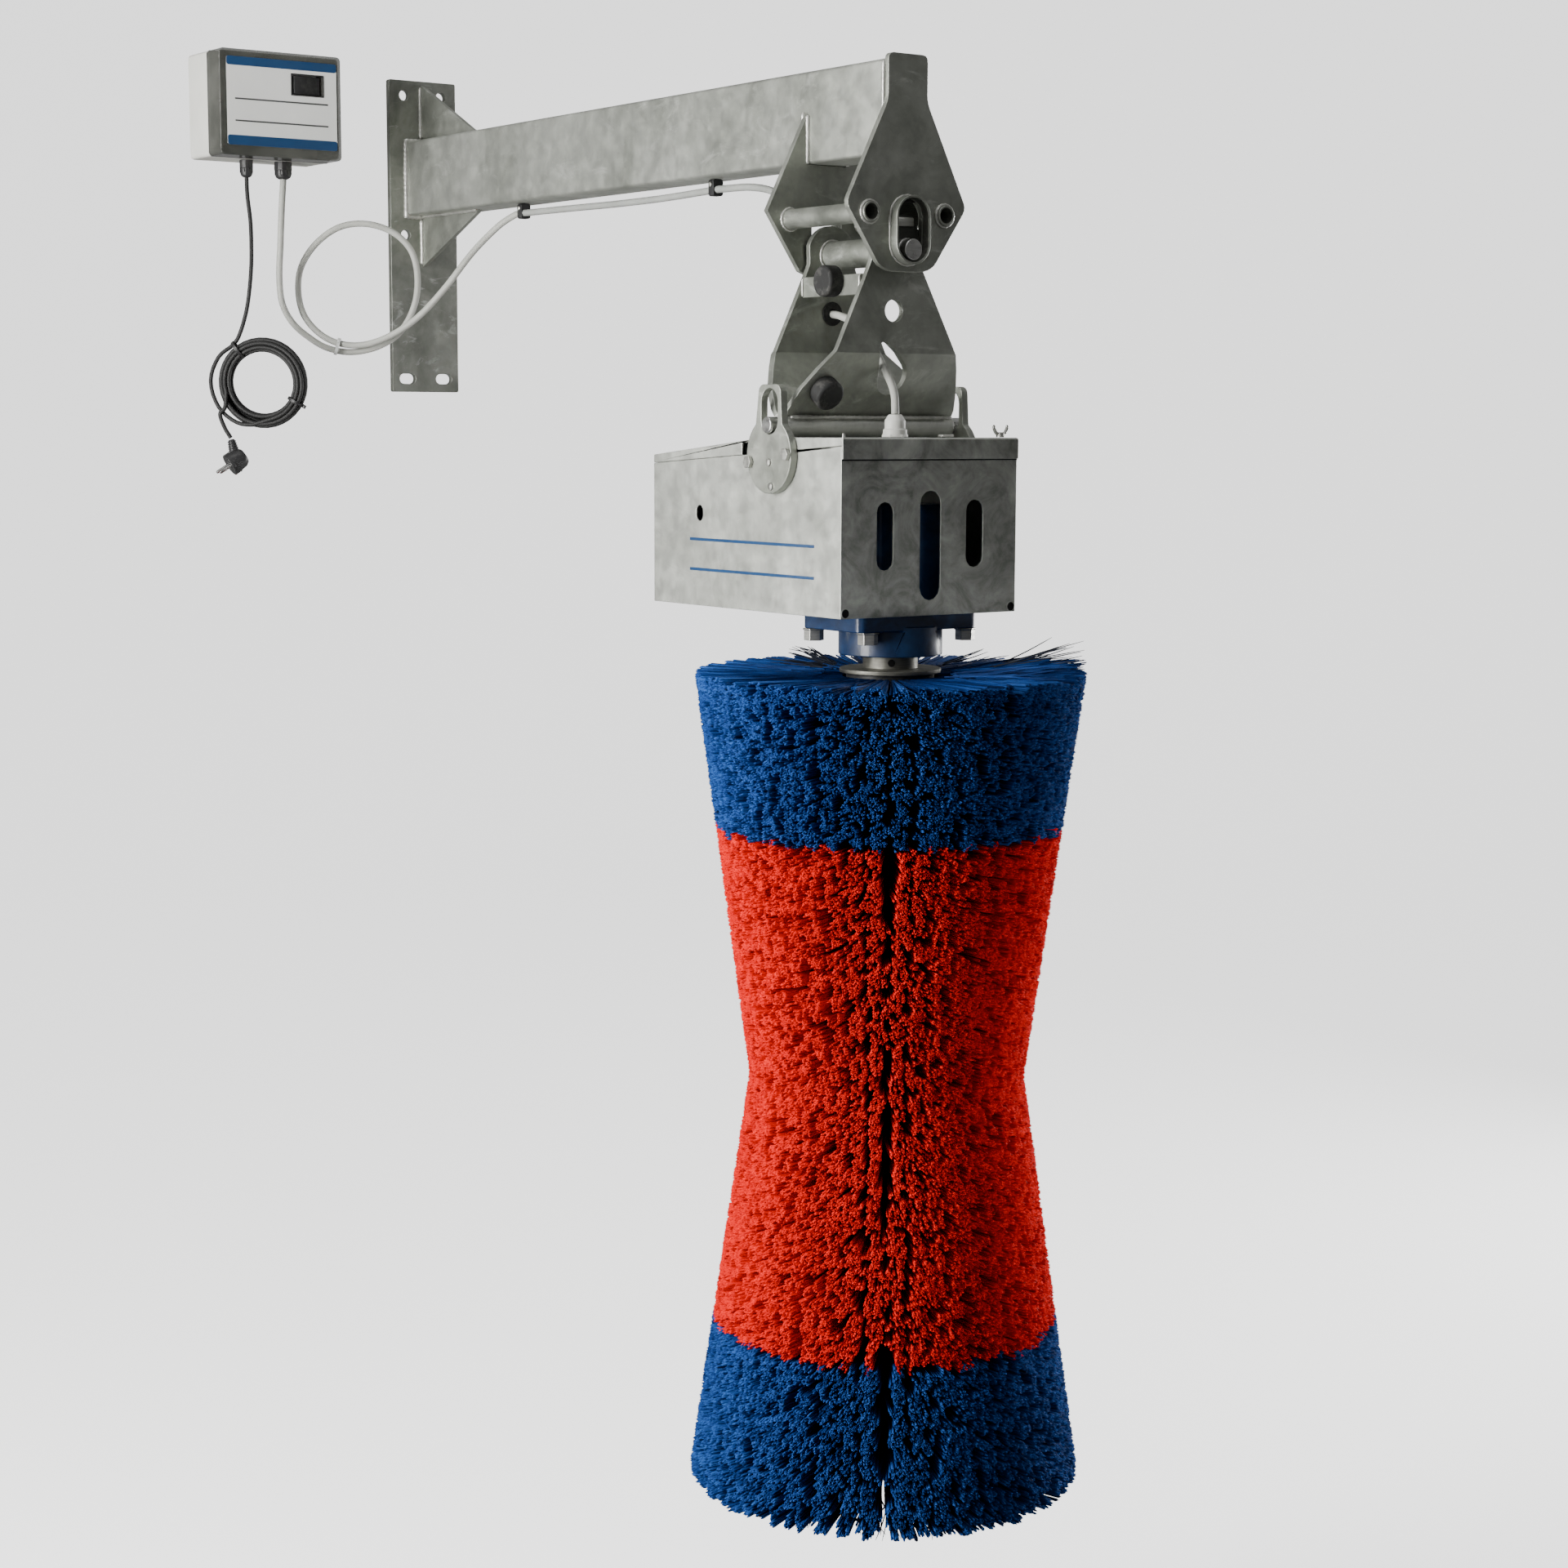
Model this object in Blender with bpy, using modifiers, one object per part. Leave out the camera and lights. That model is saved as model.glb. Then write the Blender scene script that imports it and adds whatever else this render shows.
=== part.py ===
"""Swinging livestock brush on a wall arm. Metres, +Z up, +X away from the wall, origin on the wall plate's back face at the arm's centre line."""

import math

import bmesh
import bpy
from mathutils import Matrix, Vector
from mathutils.geometry import tessellate_polygon

# ---- driving dimensions -------------------------------------------------
GAP = 0.0003  # clearance between pieces that touch
RUN = 0.0001  # radial clearance of a running fit

ARM_HALF_Y, ARM_TOP, ARM_LOW, ARM_WALL = 0.030, 0.0597, -0.0530, 0.004
PLATE_T, PLATE_HALF_Y, PLATE_TOP, PLATE_LOW = 0.010, 0.058, 0.153, -0.3255
HEAD_FRONT, HEAD_REAR, HEAD_T = 1.231, 1.068, 0.008

PIN_Z, PIN_R, COLLAR_R = -0.165, 0.0130, 0.0145
SLOT_R, SLOT_TOP, SLOT_LOW = 0.023, -0.1035, -0.180
STOP_Y, STOP_Z, STOP_R, STOP_BORE = 0.057, -0.122, 0.0123, 0.0095

LINK_FRONT, LINK_REAR, LINK_T = 1.211, 1.084, 0.008  # mid-planes of the two plates
BEND_Z = -0.287
HINGE_X, HINGE_Z, HINGE_R, SHAFT_R = 1.158, -0.375, 0.015, 0.010

BOX_X0, BOX_X1, BOX_Y, BOX_LOW, BOX_WALL = 0.8837, 1.2908, 0.1348, -0.603, 0.003
EDGE_SLOPE, EDGE_Z = 0.0614, -0.4243  # the side walls' top edge, from the rear
EAR_IN, EAR_OUT = 0.1352, 0.1452

BRUSH_X = 1.2135
BRUSH_TOP, BLUE_END, WAIST, RED_END, BRUSH_LOW = -0.680, -0.867, -1.185, -1.5025, -1.695
R_TOP, R_WAIST, R_LOW = 0.244, 0.175, 0.250
CORE_R, TUFT_ROOT, TUFTS, TUFT_HALF = 0.055, 0.0605, 30, 0.0017

CABLE_R, CORD_R = 0.0048, 0.0031

# ---- scene --------------------------------------------------------------
for old in list(bpy.data.objects):
    bpy.data.objects.remove(old, do_unlink=True)
scene = bpy.context.scene
home = bpy.data.collections.new("swinging_brush")
scene.collection.children.link(home)
helpers = bpy.data.collections.new("cutters")
scene.collection.children.link(helpers)


def material(name, colour, metallic, roughness, alpha=1.0):
    made = bpy.data.materials.new(name)
    made.use_nodes = True
    shader = made.node_tree.nodes["Principled BSDF"]
    shader.inputs["Base Color"].default_value = (*colour, 1)
    shader.inputs["Metallic"].default_value = metallic
    shader.inputs["Roughness"].default_value = roughness
    shader.inputs["Alpha"].default_value = alpha
    return made


GALVANISED = material("galvanised", (0.50, 0.50, 0.46), 0.75, 0.5)
STEEL = material("steel", (0.62, 0.62, 0.62), 1.0, 0.3)
RUBBER = material("rubber", (0.02, 0.02, 0.02), 0.0, 0.6)
BLACK = material("black_plastic", (0.03, 0.03, 0.03), 0.0, 0.45)
GREY = material("grey_plastic", (0.58, 0.58, 0.54), 0.0, 0.5)
SMOKE = material("smoked_plastic", (0.25, 0.25, 0.23), 0.0, 0.15)
CABLE = material("cable_grey", (0.45, 0.46, 0.44), 0.0, 0.5)
BLUE_PAINT = material("blue_paint", (0.02, 0.11, 0.30), 0.1, 0.4)
BLUE = material("blue_bristle", (0.01, 0.09, 0.34), 0.0, 0.5)
RED = material("red_bristle", (0.55, 0.02, 0.02), 0.0, 0.5)


def put(name, mesh, what, cutter=False, matrix=None):
    """Links a mesh as a piece, or as a hidden cutter."""
    made = bpy.data.objects.new(name, mesh)
    if matrix is not None:
        made.matrix_world = matrix
    if cutter:
        helpers.objects.link(made)
        made.hide_render = True
        made.display_type = "WIRE"
    else:
        home.objects.link(made)
        made.data.materials.append(what)
    return made


def closed_mesh(name, source):
    """The evaluated mesh of a curve or of a profile with its Screw, welded, facing out and shaded smooth up to 30 degrees."""
    scene.collection.objects.link(source)
    bpy.context.view_layer.update()
    mesh = bpy.data.meshes.new_from_object(source.evaluated_get(bpy.context.evaluated_depsgraph_get()))
    bpy.data.objects.remove(source, do_unlink=True)
    mesh.name = name
    shape = bmesh.new()
    shape.from_mesh(mesh)
    bmesh.ops.remove_doubles(shape, verts=shape.verts, dist=1e-6)
    bmesh.ops.recalc_face_normals(shape, faces=shape.faces)
    shape.to_mesh(mesh)
    shape.free()
    mesh.shade_smooth()
    mesh.set_sharp_from_angle(angle=math.radians(30))
    return mesh


# ---- outlines (lists of 2-D points) -------------------------------------
def circle(cx, cy, r, n=32, start=0.0):
    return [(cx + r * math.cos(start + 2 * math.pi * k / n), cy + r * math.sin(start + 2 * math.pi * k / n)) for k in range(n)]


def arc(cx, cy, r, first, last, n):
    """Points from angle first to last in degrees."""
    return [(cx + r * math.cos(math.radians(first + (last - first) * k / n)), cy + r * math.sin(math.radians(first + (last - first) * k / n))) for k in range(n + 1)]


def upright_slot(cx, low, high, r, n=8):
    return arc(cx, high - r, r, 0, 180, n) + arc(cx, low + r, r, 180, 360, n)


def flat_slot(cy, left, right, r, n=6):
    return arc(right - r, cy, r, -90, 90, n) + arc(left + r, cy, r, 90, 270, n)


def rectangle(x0, x1, y0, y1, r=0.0, n=3):
    if not r:
        return [(x0, y0), (x1, y0), (x1, y1), (x0, y1)]
    return arc(x1 - r, y0 + r, r, -90, 0, n) + arc(x1 - r, y1 - r, r, 0, 90, n) + arc(x0 + r, y1 - r, r, 90, 180, n) + arc(x0 + r, y0 + r, r, 180, 270, n)


def rounded(points, radius, n=3):
    """The polygon with each corner cut by a curve that starts up to radius before it."""
    out = []
    count = len(points)
    for k, corner in enumerate(points):
        here = Vector(corner)
        before, after = Vector(points[k - 1]), Vector(points[(k + 1) % count])
        reach = min(radius, (before - here).length * 0.45, (after - here).length * 0.45)
        a = here + (before - here).normalized() * reach
        b = here + (after - here).normalized() * reach
        for j in range(n + 1):
            t = j / n
            p = a * (1 - t) ** 2 + here * 2 * t * (1 - t) + b * t * t
            out.append((p.x, p.y))
    return out


def mirrored(half):
    """A closed outline from its right half, listed from top to bottom."""
    return half + [(-x, y) for x, y in reversed(half) if abs(x) > 1e-6]


def two_circles(ax, ay, ar, bx, by, br, n=12):
    """The outline round a small circle and a large one."""
    span = math.hypot(ax - bx, ay - by)
    up = math.degrees(math.atan2(ay - by, ax - bx))
    lean = 90 - math.degrees(math.asin((br - ar) / span))
    return arc(bx, by, br, up + lean, up + 360 - lean, n) + arc(ax, ay, ar, up - lean, up + lean, n)


# ---- solids -------------------------------------------------------------
# local X and Y of a flat outline, and its thickness, for each sweep axis
FLAT = {"X": Matrix(((0, 0, 1, 0), (1, 0, 0, 0), (0, 1, 0, 0), (0, 0, 0, 1))),
        "Y": Matrix(((1, 0, 0, 0), (0, 0, -1, 0), (0, 1, 0, 0), (0, 0, 0, 1))),
        "Z": Matrix()}
ALONG = {"X": Vector((1, 0, 0)), "Y": Vector((0, 1, 0)), "Z": Vector((0, 0, 1))}


def prism(name, what, axis, outline, low, high, holes=(), cutter=False):
    """A flat outline with its holes as a filled 2-D curve, extruded along the axis from low to high."""
    flat = bpy.data.curves.new(name, "CURVE")
    flat.dimensions = "2D"
    flat.fill_mode = "BOTH"
    flat.extrude = (high - low) / 2
    for loop in (outline, *holes):
        line = flat.splines.new("POLY")
        line.points.add(len(loop) - 1)
        for slot, (u, v) in zip(line.points, loop):
            slot.co = (u, v, 0, 1)
        line.use_cyclic_u = True
    mesh = closed_mesh(name, bpy.data.objects.new(name + "_outline", flat))
    return put(name, mesh, what, cutter, Matrix.Translation(ALONG[axis] * ((low + high) / 2)) @ FLAT[axis])


def lathe(name, what, profile, n=32, at=(0, 0, 0), axis="Z", turn=None, closed=False, cutter=False):
    """A profile of (radius, height) with a Screw modifier about the axis through at. A closed profile makes a ring."""
    line = list(profile)
    if not closed:
        line = [p for p in ((0, line[0][1]), *line, (0, line[-1][1]))]
        line = [p for k, p in enumerate(line) if k == 0 or p != line[k - 1]]
    area = sum(a[0] * b[1] - b[0] * a[1] for a, b in zip(line, line[1:] + line[:1]))
    if area > 0:  # the outer side runs from top to bottom, so that the faces point out
        line.reverse()
    edges = [(k, k + 1) for k in range(len(line) - 1)] + ([(len(line) - 1, 0)] if closed else [])
    drawn = bpy.data.meshes.new(name)
    drawn.from_pydata([(r, 0, h) for r, h in line], edges, [])
    source = bpy.data.objects.new(name + "_profile", drawn)
    turned = source.modifiers.new("turned", "SCREW")
    turned.steps = turned.render_steps = n
    turned.use_merge_vertices = True
    turned.merge_threshold = 1e-5
    mesh = closed_mesh(name, source)
    spin = {"Z": Matrix(), "X": Matrix.Rotation(math.pi / 2, 4, "Y"), "Y": Matrix.Rotation(-math.pi / 2, 4, "X")}[axis]
    if turn is not None:
        spin = turn @ spin
    return put(name, mesh, what, cutter, Matrix.Translation(at) @ spin)


def bar(name, what, r, low, high, at=(0, 0, 0), axis="Z", n=32, chamfer=0.0, cutter=False):
    profile = [(r, low), (r, high)] if not chamfer else [(r - chamfer, low), (r, low + chamfer), (r, high - chamfer), (r - chamfer, high)]
    return lathe(name, what, profile, n, at, axis, cutter=cutter)


def ring(name, what, bore, r, low, high, at=(0, 0, 0), axis="Z", n=32):
    return lathe(name, what, [(bore, low), (r, low), (r, high), (bore, high)], n, at, axis, closed=True)


def combine(target, other, how="DIFFERENCE"):
    step = target.modifiers.new(other.name, "BOOLEAN")
    step.operation = how
    step.solver = "EXACT"
    step.object = other
    return target


def smooth_path(points, each):
    """A curve through the points, as many short steps per span."""
    out = []
    p = [Vector(q) for q in points]
    p = [p[0] * 2 - p[1]] + p + [p[-1] * 2 - p[-2]]
    for k in range(1, len(p) - 2):
        for j in range(each):
            t = j / each
            out.append(0.5 * ((2 * p[k]) + (p[k + 1] - p[k - 1]) * t + (2 * p[k - 1] - 5 * p[k] + 4 * p[k + 1] - p[k + 2]) * t * t + (3 * p[k] - p[k - 1] - 3 * p[k + 1] + p[k + 2]) * t ** 3))
    out.append(p[-2])
    return out


def cable(name, what, points, radius):
    data = bpy.data.curves.new(name, "CURVE")
    data.dimensions = "3D"
    data.bevel_depth = radius
    data.bevel_resolution = 2
    data.use_fill_caps = True
    line = data.splines.new("POLY")
    line.points.add(len(points) - 1)
    for slot, point in zip(line.points, points):
        slot.co = (*point, 1)
    made = bpy.data.objects.new(name, data)
    home.objects.link(made)
    made.data.materials.append(what)
    return made


# ---- wall plate, arm and gussets ---------------------------------------
WALL_HOLE_Y, WALL_HOLE_TOP, WALL_HOLE_MID, WALL_SLOT_Z, WALL_HOLE_R = 0.032, 0.130, -0.083, -0.305, 0.008
wall_holes = [circle(s * WALL_HOLE_Y, z, WALL_HOLE_R, 24) for s in (-1, 1) for z in (WALL_HOLE_TOP, WALL_HOLE_MID)]
wall_holes += [flat_slot(WALL_SLOT_Z, s * WALL_HOLE_Y - 0.014, s * WALL_HOLE_Y + 0.014, WALL_HOLE_R, 8) for s in (-1, 1)]
prism("wall_plate", GALVANISED, "X", rectangle(-PLATE_HALF_Y, PLATE_HALF_Y, PLATE_LOW, PLATE_TOP, 0.003), 0, PLATE_T, wall_holes)

prism("arm_tube", GALVANISED, "X",
      rectangle(-ARM_HALF_Y, ARM_HALF_Y, ARM_LOW, ARM_TOP, 0.005),
      PLATE_T + GAP, HEAD_FRONT - GAP,
      [rectangle(-ARM_HALF_Y + ARM_WALL, ARM_HALF_Y - ARM_WALL, ARM_LOW + ARM_WALL, ARM_TOP - ARM_WALL, 0.002)])

GUSSET_HALF = 0.0035
foot, over, under = PLATE_T + GAP, ARM_TOP + GAP, ARM_LOW - GAP
prism("gusset_top", GALVANISED, "Y", [(foot, over), (0.185, over), (0.182, over + 0.003), (foot, 0.147)], -GUSSET_HALF, GUSSET_HALF)
prism("gusset_bottom", GALVANISED, "Y", [(foot, under), (0.191, under), (0.186, under - 0.004), (foot, -0.1314)], -GUSSET_HALF, GUSSET_HALF)

# ---- head ---------------------------------------------------------------
cheek = [(0.0915, -0.1125), (0.0416, -0.185), (0.025, -0.191)]
front_outline = rounded(mirrored([(0.030, 0.066), (0.030, 0.0105)] + cheek), 0.008)
notch = ARM_HALF_Y + GAP
rear_outline = [(notch, 0.009)] + cheek + [(-y, z) for y, z in reversed(cheek)] + [(-notch, 0.009), (-notch, ARM_LOW - GAP), (notch, ARM_LOW - GAP)]
slot = upright_slot(0, SLOT_LOW, SLOT_TOP, SLOT_R, 12)
stops = [circle(s * STOP_Y, STOP_Z, STOP_R + GAP, 24) for s in (-1, 1)]
prism("head_plate_front", GALVANISED, "X", front_outline, HEAD_FRONT, HEAD_FRONT + HEAD_T, [slot] + stops)
prism("head_plate_rear", GALVANISED, "X", rear_outline, HEAD_REAR, HEAD_REAR + HEAD_T, [slot] + stops)
guide = upright_slot(0, SLOT_LOW - 0.003, SLOT_TOP + 0.003, SLOT_R + 0.003, 12)
GUIDE_DEEP = 0.0137
prism("slot_guide_front", GALVANISED, "X", guide, HEAD_FRONT + HEAD_T + GAP, HEAD_FRONT + HEAD_T + GAP + GUIDE_DEEP, [slot])
prism("slot_guide_rear", GALVANISED, "X", guide, HEAD_REAR - GAP - GUIDE_DEEP, HEAD_REAR - GAP, [slot])
for side, name in ((-1, "stop_tube_left"), (1, "stop_tube_right")):
    ring(name, GALVANISED, STOP_BORE, STOP_R, HEAD_REAR - 0.005, HEAD_FRONT + HEAD_T + 0.005, (0, side * STOP_Y, STOP_Z), "X", 24)

# ---- cable clips under the arm -----------------------------------------
CLIP_Z = -0.0668
for name, x in (("cable_clip_1", 0.325), ("cable_clip_2", 0.830)):
    outline = rectangle(-0.0100, 0.0060, -0.0752, ARM_LOW - GAP, 0.003, 2)
    prism(name, BLACK, "X", outline, x - 0.006, x + 0.006, [circle(-0.003, CLIP_Z, CABLE_R + 0.0006, 16)])

# ---- control box --------------------------------------------------------
BX0, BX1, BZ0, BZ1 = -0.383, -0.190, 0.0125, 0.164
BASE_DEEP, LID_DEEP, SKIN = 0.0675, 0.111, 0.003
prism("control_box_base", GREY, "X", rectangle(BX0, BX1, BZ0, BZ1, 0.006), 0, BASE_DEEP, ())
combine(bpy.data.objects["control_box_base"], prism("cut_base", None, "X", rectangle(BX0 + SKIN, BX1 - SKIN, BZ0 + SKIN, BZ1 - SKIN, 0.004), SKIN, BASE_DEEP + 0.02, cutter=True))
prism("control_box_lid", SMOKE, "X", rectangle(BX0, BX1, BZ0, BZ1, 0.006), BASE_DEEP + GAP, LID_DEEP, ())
combine(bpy.data.objects["control_box_lid"], prism("cut_lid", None, "X", rectangle(BX0 + SKIN, BX1 - SKIN, BZ0 + SKIN, BZ1 - SKIN, 0.004), BASE_DEEP - 0.02, LID_DEEP - SKIN, cutter=True))
SW_Y0, SW_Y1, SW_Z0, SW_Z1 = -0.2693, -0.2198, 0.1049, 0.1336
combine(bpy.data.objects["control_box_lid"], prism("cut_switch", None, "X", rectangle(SW_Y0, SW_Y1, SW_Z0, SW_Z1), LID_DEEP - 0.02, LID_DEEP + 0.02, cutter=True))
SW_MID, SW_AXIS_X, SW_TILT = (SW_Y0 + SW_Y1) / 2, LID_DEEP - 0.006, math.radians(7)
half_w = (SW_Y1 - SW_Y0) / 2 - 0.0025
half_h = (SW_Z1 - SW_Z0) / 2 - 0.0012
rocker = prism("rocker_switch", BLACK, "Z", [(-0.004, -half_w), (0.0045, -half_w), (0.0025, 0), (0.0045, half_w), (-0.004, half_w)], -half_h, half_h)
rocker.matrix_world = Matrix.Translation((SW_AXIS_X, SW_MID, (SW_Z0 + SW_Z1) / 2)) @ Matrix.Rotation(SW_TILT, 4, "Z")

GLAND_X = 0.050
MAINS_Y, MOTOR_Y = -0.3166, -0.2573
for name, y, r in (("gland_mains", MAINS_Y, 0.0095), ("gland_motor", MOTOR_Y, 0.0125)):
    lathe(name, BLACK, [(r * 0.55, -0.0130), (r * 0.85, -0.0105), (r, -0.0060), (r, 0.0000), (r * 1.05, 0.0002), (r * 1.05, BZ0 - GAP)], 12, (GLAND_X, y, 0))

# ---- mains cord, coil, tail and plug -----------------------------------
COIL = Vector((0.055, -0.299, -0.315))
COIL_R, BUNDLE_R, COIL_LEAN = 0.0565, 0.0115, math.radians(37)
across = Vector((math.sin(COIL_LEAN), math.cos(COIL_LEAN), 0))


def on_coil(degrees, r):
    t = math.radians(degrees)
    return COIL + across * (r * math.cos(t)) + Vector((0, 0, 1)) * (r * math.sin(t))


CLEAR = COIL_R + BUNDLE_R + CORD_R + GAP
coil_turn = Vector((math.cos(COIL_LEAN), -math.sin(COIL_LEAN), 0)).to_track_quat("Z", "Y").to_matrix().to_4x4()
lathe("mains_coil", BLACK, circle(COIL_R, 0, BUNDLE_R, 10), 36, COIL, turn=coil_turn, closed=True)
cable("mains_cord", BLACK, smooth_path([(GLAND_X, MAINS_Y, -0.0144), (0.0525, -0.3165, -0.040), (0.055, -0.3135, -0.100), (0.053, -0.314, -0.150), (0.048, -0.3185, -0.200), (0.038, -0.327, -0.240), on_coil(127, CLEAR + 0.001)], 6), CORD_R)
tail_end = Vector((0.030, -0.342, -0.3975))
cable("mains_tail", BLACK, smooth_path([on_coil(202, CLEAR + 0.0006), (0.0195, -0.3525, -0.362), (0.0245, -0.348, -0.382), tail_end], 6), CORD_R)
PLUG_LEAN = Vector((-0.10, -0.62, -0.40)).normalized()
plug_at = Vector((0.0345, -0.336, -0.4315))
plug_turn = PLUG_LEAN.to_track_quat("Z", "Y").to_matrix().to_4x4()
plug = lathe("mains_plug", BLACK, [(0.0110, -0.015), (0.0150, -0.009), (0.0170, 0.006), (0.0170, 0.013)], 20, plug_at, turn=plug_turn)
relief_dir = (plug_at - tail_end).normalized()
relief_turn = relief_dir.to_track_quat("Z", "Y").to_matrix().to_4x4()
combine(plug, lathe("join_relief", None, [(0.0042, 0.0022), (0.0055, 0.005), (0.0078, 0.022), (0.0078, 0.034)], 12, tail_end, turn=relief_turn, cutter=True), "UNION")
for k, off in enumerate((-0.0095, 0.0095)):
    side_dir = PLUG_LEAN.cross(Vector((0, 0, 1))).normalized()
    combine(plug, lathe(f"join_pin_{k}", None, [(0.0024, 0.010), (0.0024, 0.031), (0.0016, 0.033)], 10, plug_at + side_dir * off, turn=plug_turn, cutter=True), "UNION")

# ---- motor cable: a hanging loop, then along the arm --------------------
drop = [(GLAND_X, MOTOR_Y, -0.0144), (0.054, -0.263, -0.062), (0.050, -0.264, -0.110), (0.044, -0.264, -0.158), (0.038, -0.257, -0.196), (0.036, -0.240, -0.224)]
outer_turn = [(0.040, -0.216, -0.245), (0.048, -0.189, -0.261), (0.062, -0.156, -0.267), (0.080, -0.121, -0.259), (0.097, -0.092, -0.238), (0.110, -0.074, -0.202),
              (0.115, -0.068, -0.160), (0.110, -0.074, -0.117), (0.097, -0.097, -0.088), (0.078, -0.133, -0.0745), (0.057, -0.169, -0.0795), (0.038, -0.199, -0.104)]
inner_turn = [(0.026, -0.2185, -0.138), (0.023, -0.2235, -0.174), (0.028, -0.2175, -0.211), (0.040, -0.198, -0.239), (0.058, -0.174, -0.254), (0.080, -0.144, -0.256), (0.106, -0.111, -0.242)]
rise = [(0.138, -0.080, -0.214), (0.175, -0.053, -0.171), (0.225, -0.034, -0.121), (0.275, -0.0185, -0.0850), (0.302, -0.0055, -0.0692)]
loop_path = smooth_path(drop + outer_turn + inner_turn + rise + [(0.3165, -0.0032, CLIP_Z - 0.0003)], 2)
cable("motor_cable_loop", CABLE, loop_path, CABLE_R)
along = [(0.3182, -0.003, CLIP_Z), (0.360, -0.004, -0.0675), (0.465, -0.004, -0.0685), (0.580, -0.004, -0.0700), (0.700, -0.004, -0.0700), (0.800, -0.0035, -0.0678), (0.830, -0.003, CLIP_Z), (0.860, -0.003, -0.0672), (0.915, -0.004, -0.0692), (0.965, -0.004, -0.078)]
behind = [(1.005, -0.003, -0.098), (1.027, -0.001, -0.130), (1.034, 0, -0.165)]
cable("motor_cable_arm", CABLE, smooth_path(along + behind, 3), CABLE_R)
GROMMET_Z = -0.2365
cable("motor_cable_drop", CABLE, smooth_path([(1.0345, 0, -0.1662), (1.037, 0, -0.195), (1.046, 0, -0.220), (1.062, 0, -0.2335), (1.0775, 0, GROMMET_Z)], 4), CABLE_R)
GLAND = Vector((1.250, -0.024, -0.3618))
cable("motor_cable_lower", CABLE, smooth_path([(1.0785, 0, GROMMET_Z), (1.105, 0, -0.2395), (1.143, -0.0005, -0.2525), (1.177, -0.0015, -0.2805), (1.203, -0.0055, -0.3065), (1.228, -0.0130, -0.3250), (1.2440, -0.0205, -0.3400), (1.2492, -0.0235, -0.3525), (GLAND.x, GLAND.y, GLAND.z + 0.0010)], 4), CABLE_R)

# ---- pin in the head's slots -------------------------------------------
collar_rear, collar_front = (1.0665, 1.0785), (1.2285, 1.2405)
lathe("pivot_pin", STEEL, [(PIN_R - 0.001, 1.052), (PIN_R, 1.053), (PIN_R, collar_rear[0]), (COLLAR_R, collar_rear[0]), (COLLAR_R, collar_rear[1]), (PIN_R, collar_rear[1]), (PIN_R, collar_front[0]), (COLLAR_R, collar_front[0]), (COLLAR_R, collar_front[1]), (PIN_R, collar_front[1]), (PIN_R, 1.252), (PIN_R - 0.001, 1.253)], 48, (0, 0, PIN_Z), "X")

# ---- link ---------------------------------------------------------------
LINK_FOOT = [(0.120, -0.332), (0.1285, -0.356), (0.1285, -0.380)]
link_side = [(0.0345, -0.176), (0.0405, -0.190), (0.0855, -0.284), (0.101, -0.304)] + LINK_FOOT
front_right = [(0.0385, -0.176), (0.0461, -0.1905), (0.0991, -0.290), (0.108, -0.306)] + LINK_FOOT
crown = arc(0, PIN_Z, 0.0370, 162, 18, 12)


def link_plate(name, mid, right, egg):
    down = Vector((HINGE_X - mid, HINGE_Z - BEND_Z))
    length = down.length
    down.normalize()
    out = Vector((-down.y, down.x))
    if out.x < 0:
        out = -out
    half = LINK_T / 2
    miter = half * math.tan(abs(math.atan2(down.x, -down.y)) / 2)
    lean = 1 if down.x < 0 else -1
    reach = length - HINGE_R - 0.0006
    start, end = Vector((mid, BEND_Z)), Vector((mid, BEND_Z)) + down * reach
    points = [(mid - half, -0.10), (mid + half, -0.10), (mid + half, start.y - lean * miter),
              tuple(end + out * half), tuple(end - out * half), (mid - half, start.y + lean * miter)]
    made = prism(name, GALVANISED, "Y", points, -0.14, 0.14)
    outline = crown + right + [(-y, z) for y, z in reversed(link_side)]
    combine(made, prism("keep_" + name, None, "X", outline, 1.0, 1.3, cutter=True), "INTERSECT")
    combine(made, bar("bore_" + name, None, PIN_R + RUN, mid - 0.02, mid + 0.02, (0, 0, PIN_Z), "X", 48, cutter=True))
    combine(made, bar("hole_" + name, None, 0.0135, mid - 0.02, mid + 0.02, (0, 0, GROMMET_Z), "X", 24, cutter=True))
    if egg:
        combine(made, prism("egg_" + name, None, "X", two_circles(-0.0130, -0.2825, 0.0085, 0.0115, -0.3170, 0.0205), 1.10, 1.30, cutter=True))
    return down, out, start


front_down, front_out, front_start = link_plate("link_plate_front", LINK_FRONT, front_right, True)
link_plate("link_plate_rear", LINK_REAR, link_side, False)
inner_0, inner_1 = LINK_REAR + LINK_T / 2 + GAP, LINK_FRONT - LINK_T / 2 - GAP
ring("pivot_tube", GALVANISED, PIN_R + RUN, 0.0175, inner_0, inner_1, (0, 0, PIN_Z), "X", 48)
CROSS_OUT, CROSS_T = 0.046, 0.006
BUFFER_R, BUFFER_X, BUFFER_Z = 0.0192, 1.155, -0.2005
for side, name in ((-1, "left"), (1, "right")):
    prism("cross_plate_" + name, GALVANISED, "Y", rectangle(inner_0, inner_1, -0.218, -0.193), *sorted((side * (CROSS_OUT - CROSS_T), side * CROSS_OUT)))
    lathe("buffer_upper_" + name, RUBBER, [(BUFFER_R, CROSS_OUT + GAP), (BUFFER_R, 0.0635), (BUFFER_R - 0.0025, 0.066)], 24, (BUFFER_X, 0, BUFFER_Z), "Y", turn=Matrix.Rotation(math.pi, 4, "X") if side < 0 else None)
seat = front_start + front_down * 0.0502 + front_out * (LINK_T / 2 + GAP)
buffer_turn = Vector((front_out.x, 0, front_out.y)).to_track_quat("Z", "Y").to_matrix().to_4x4()
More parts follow.
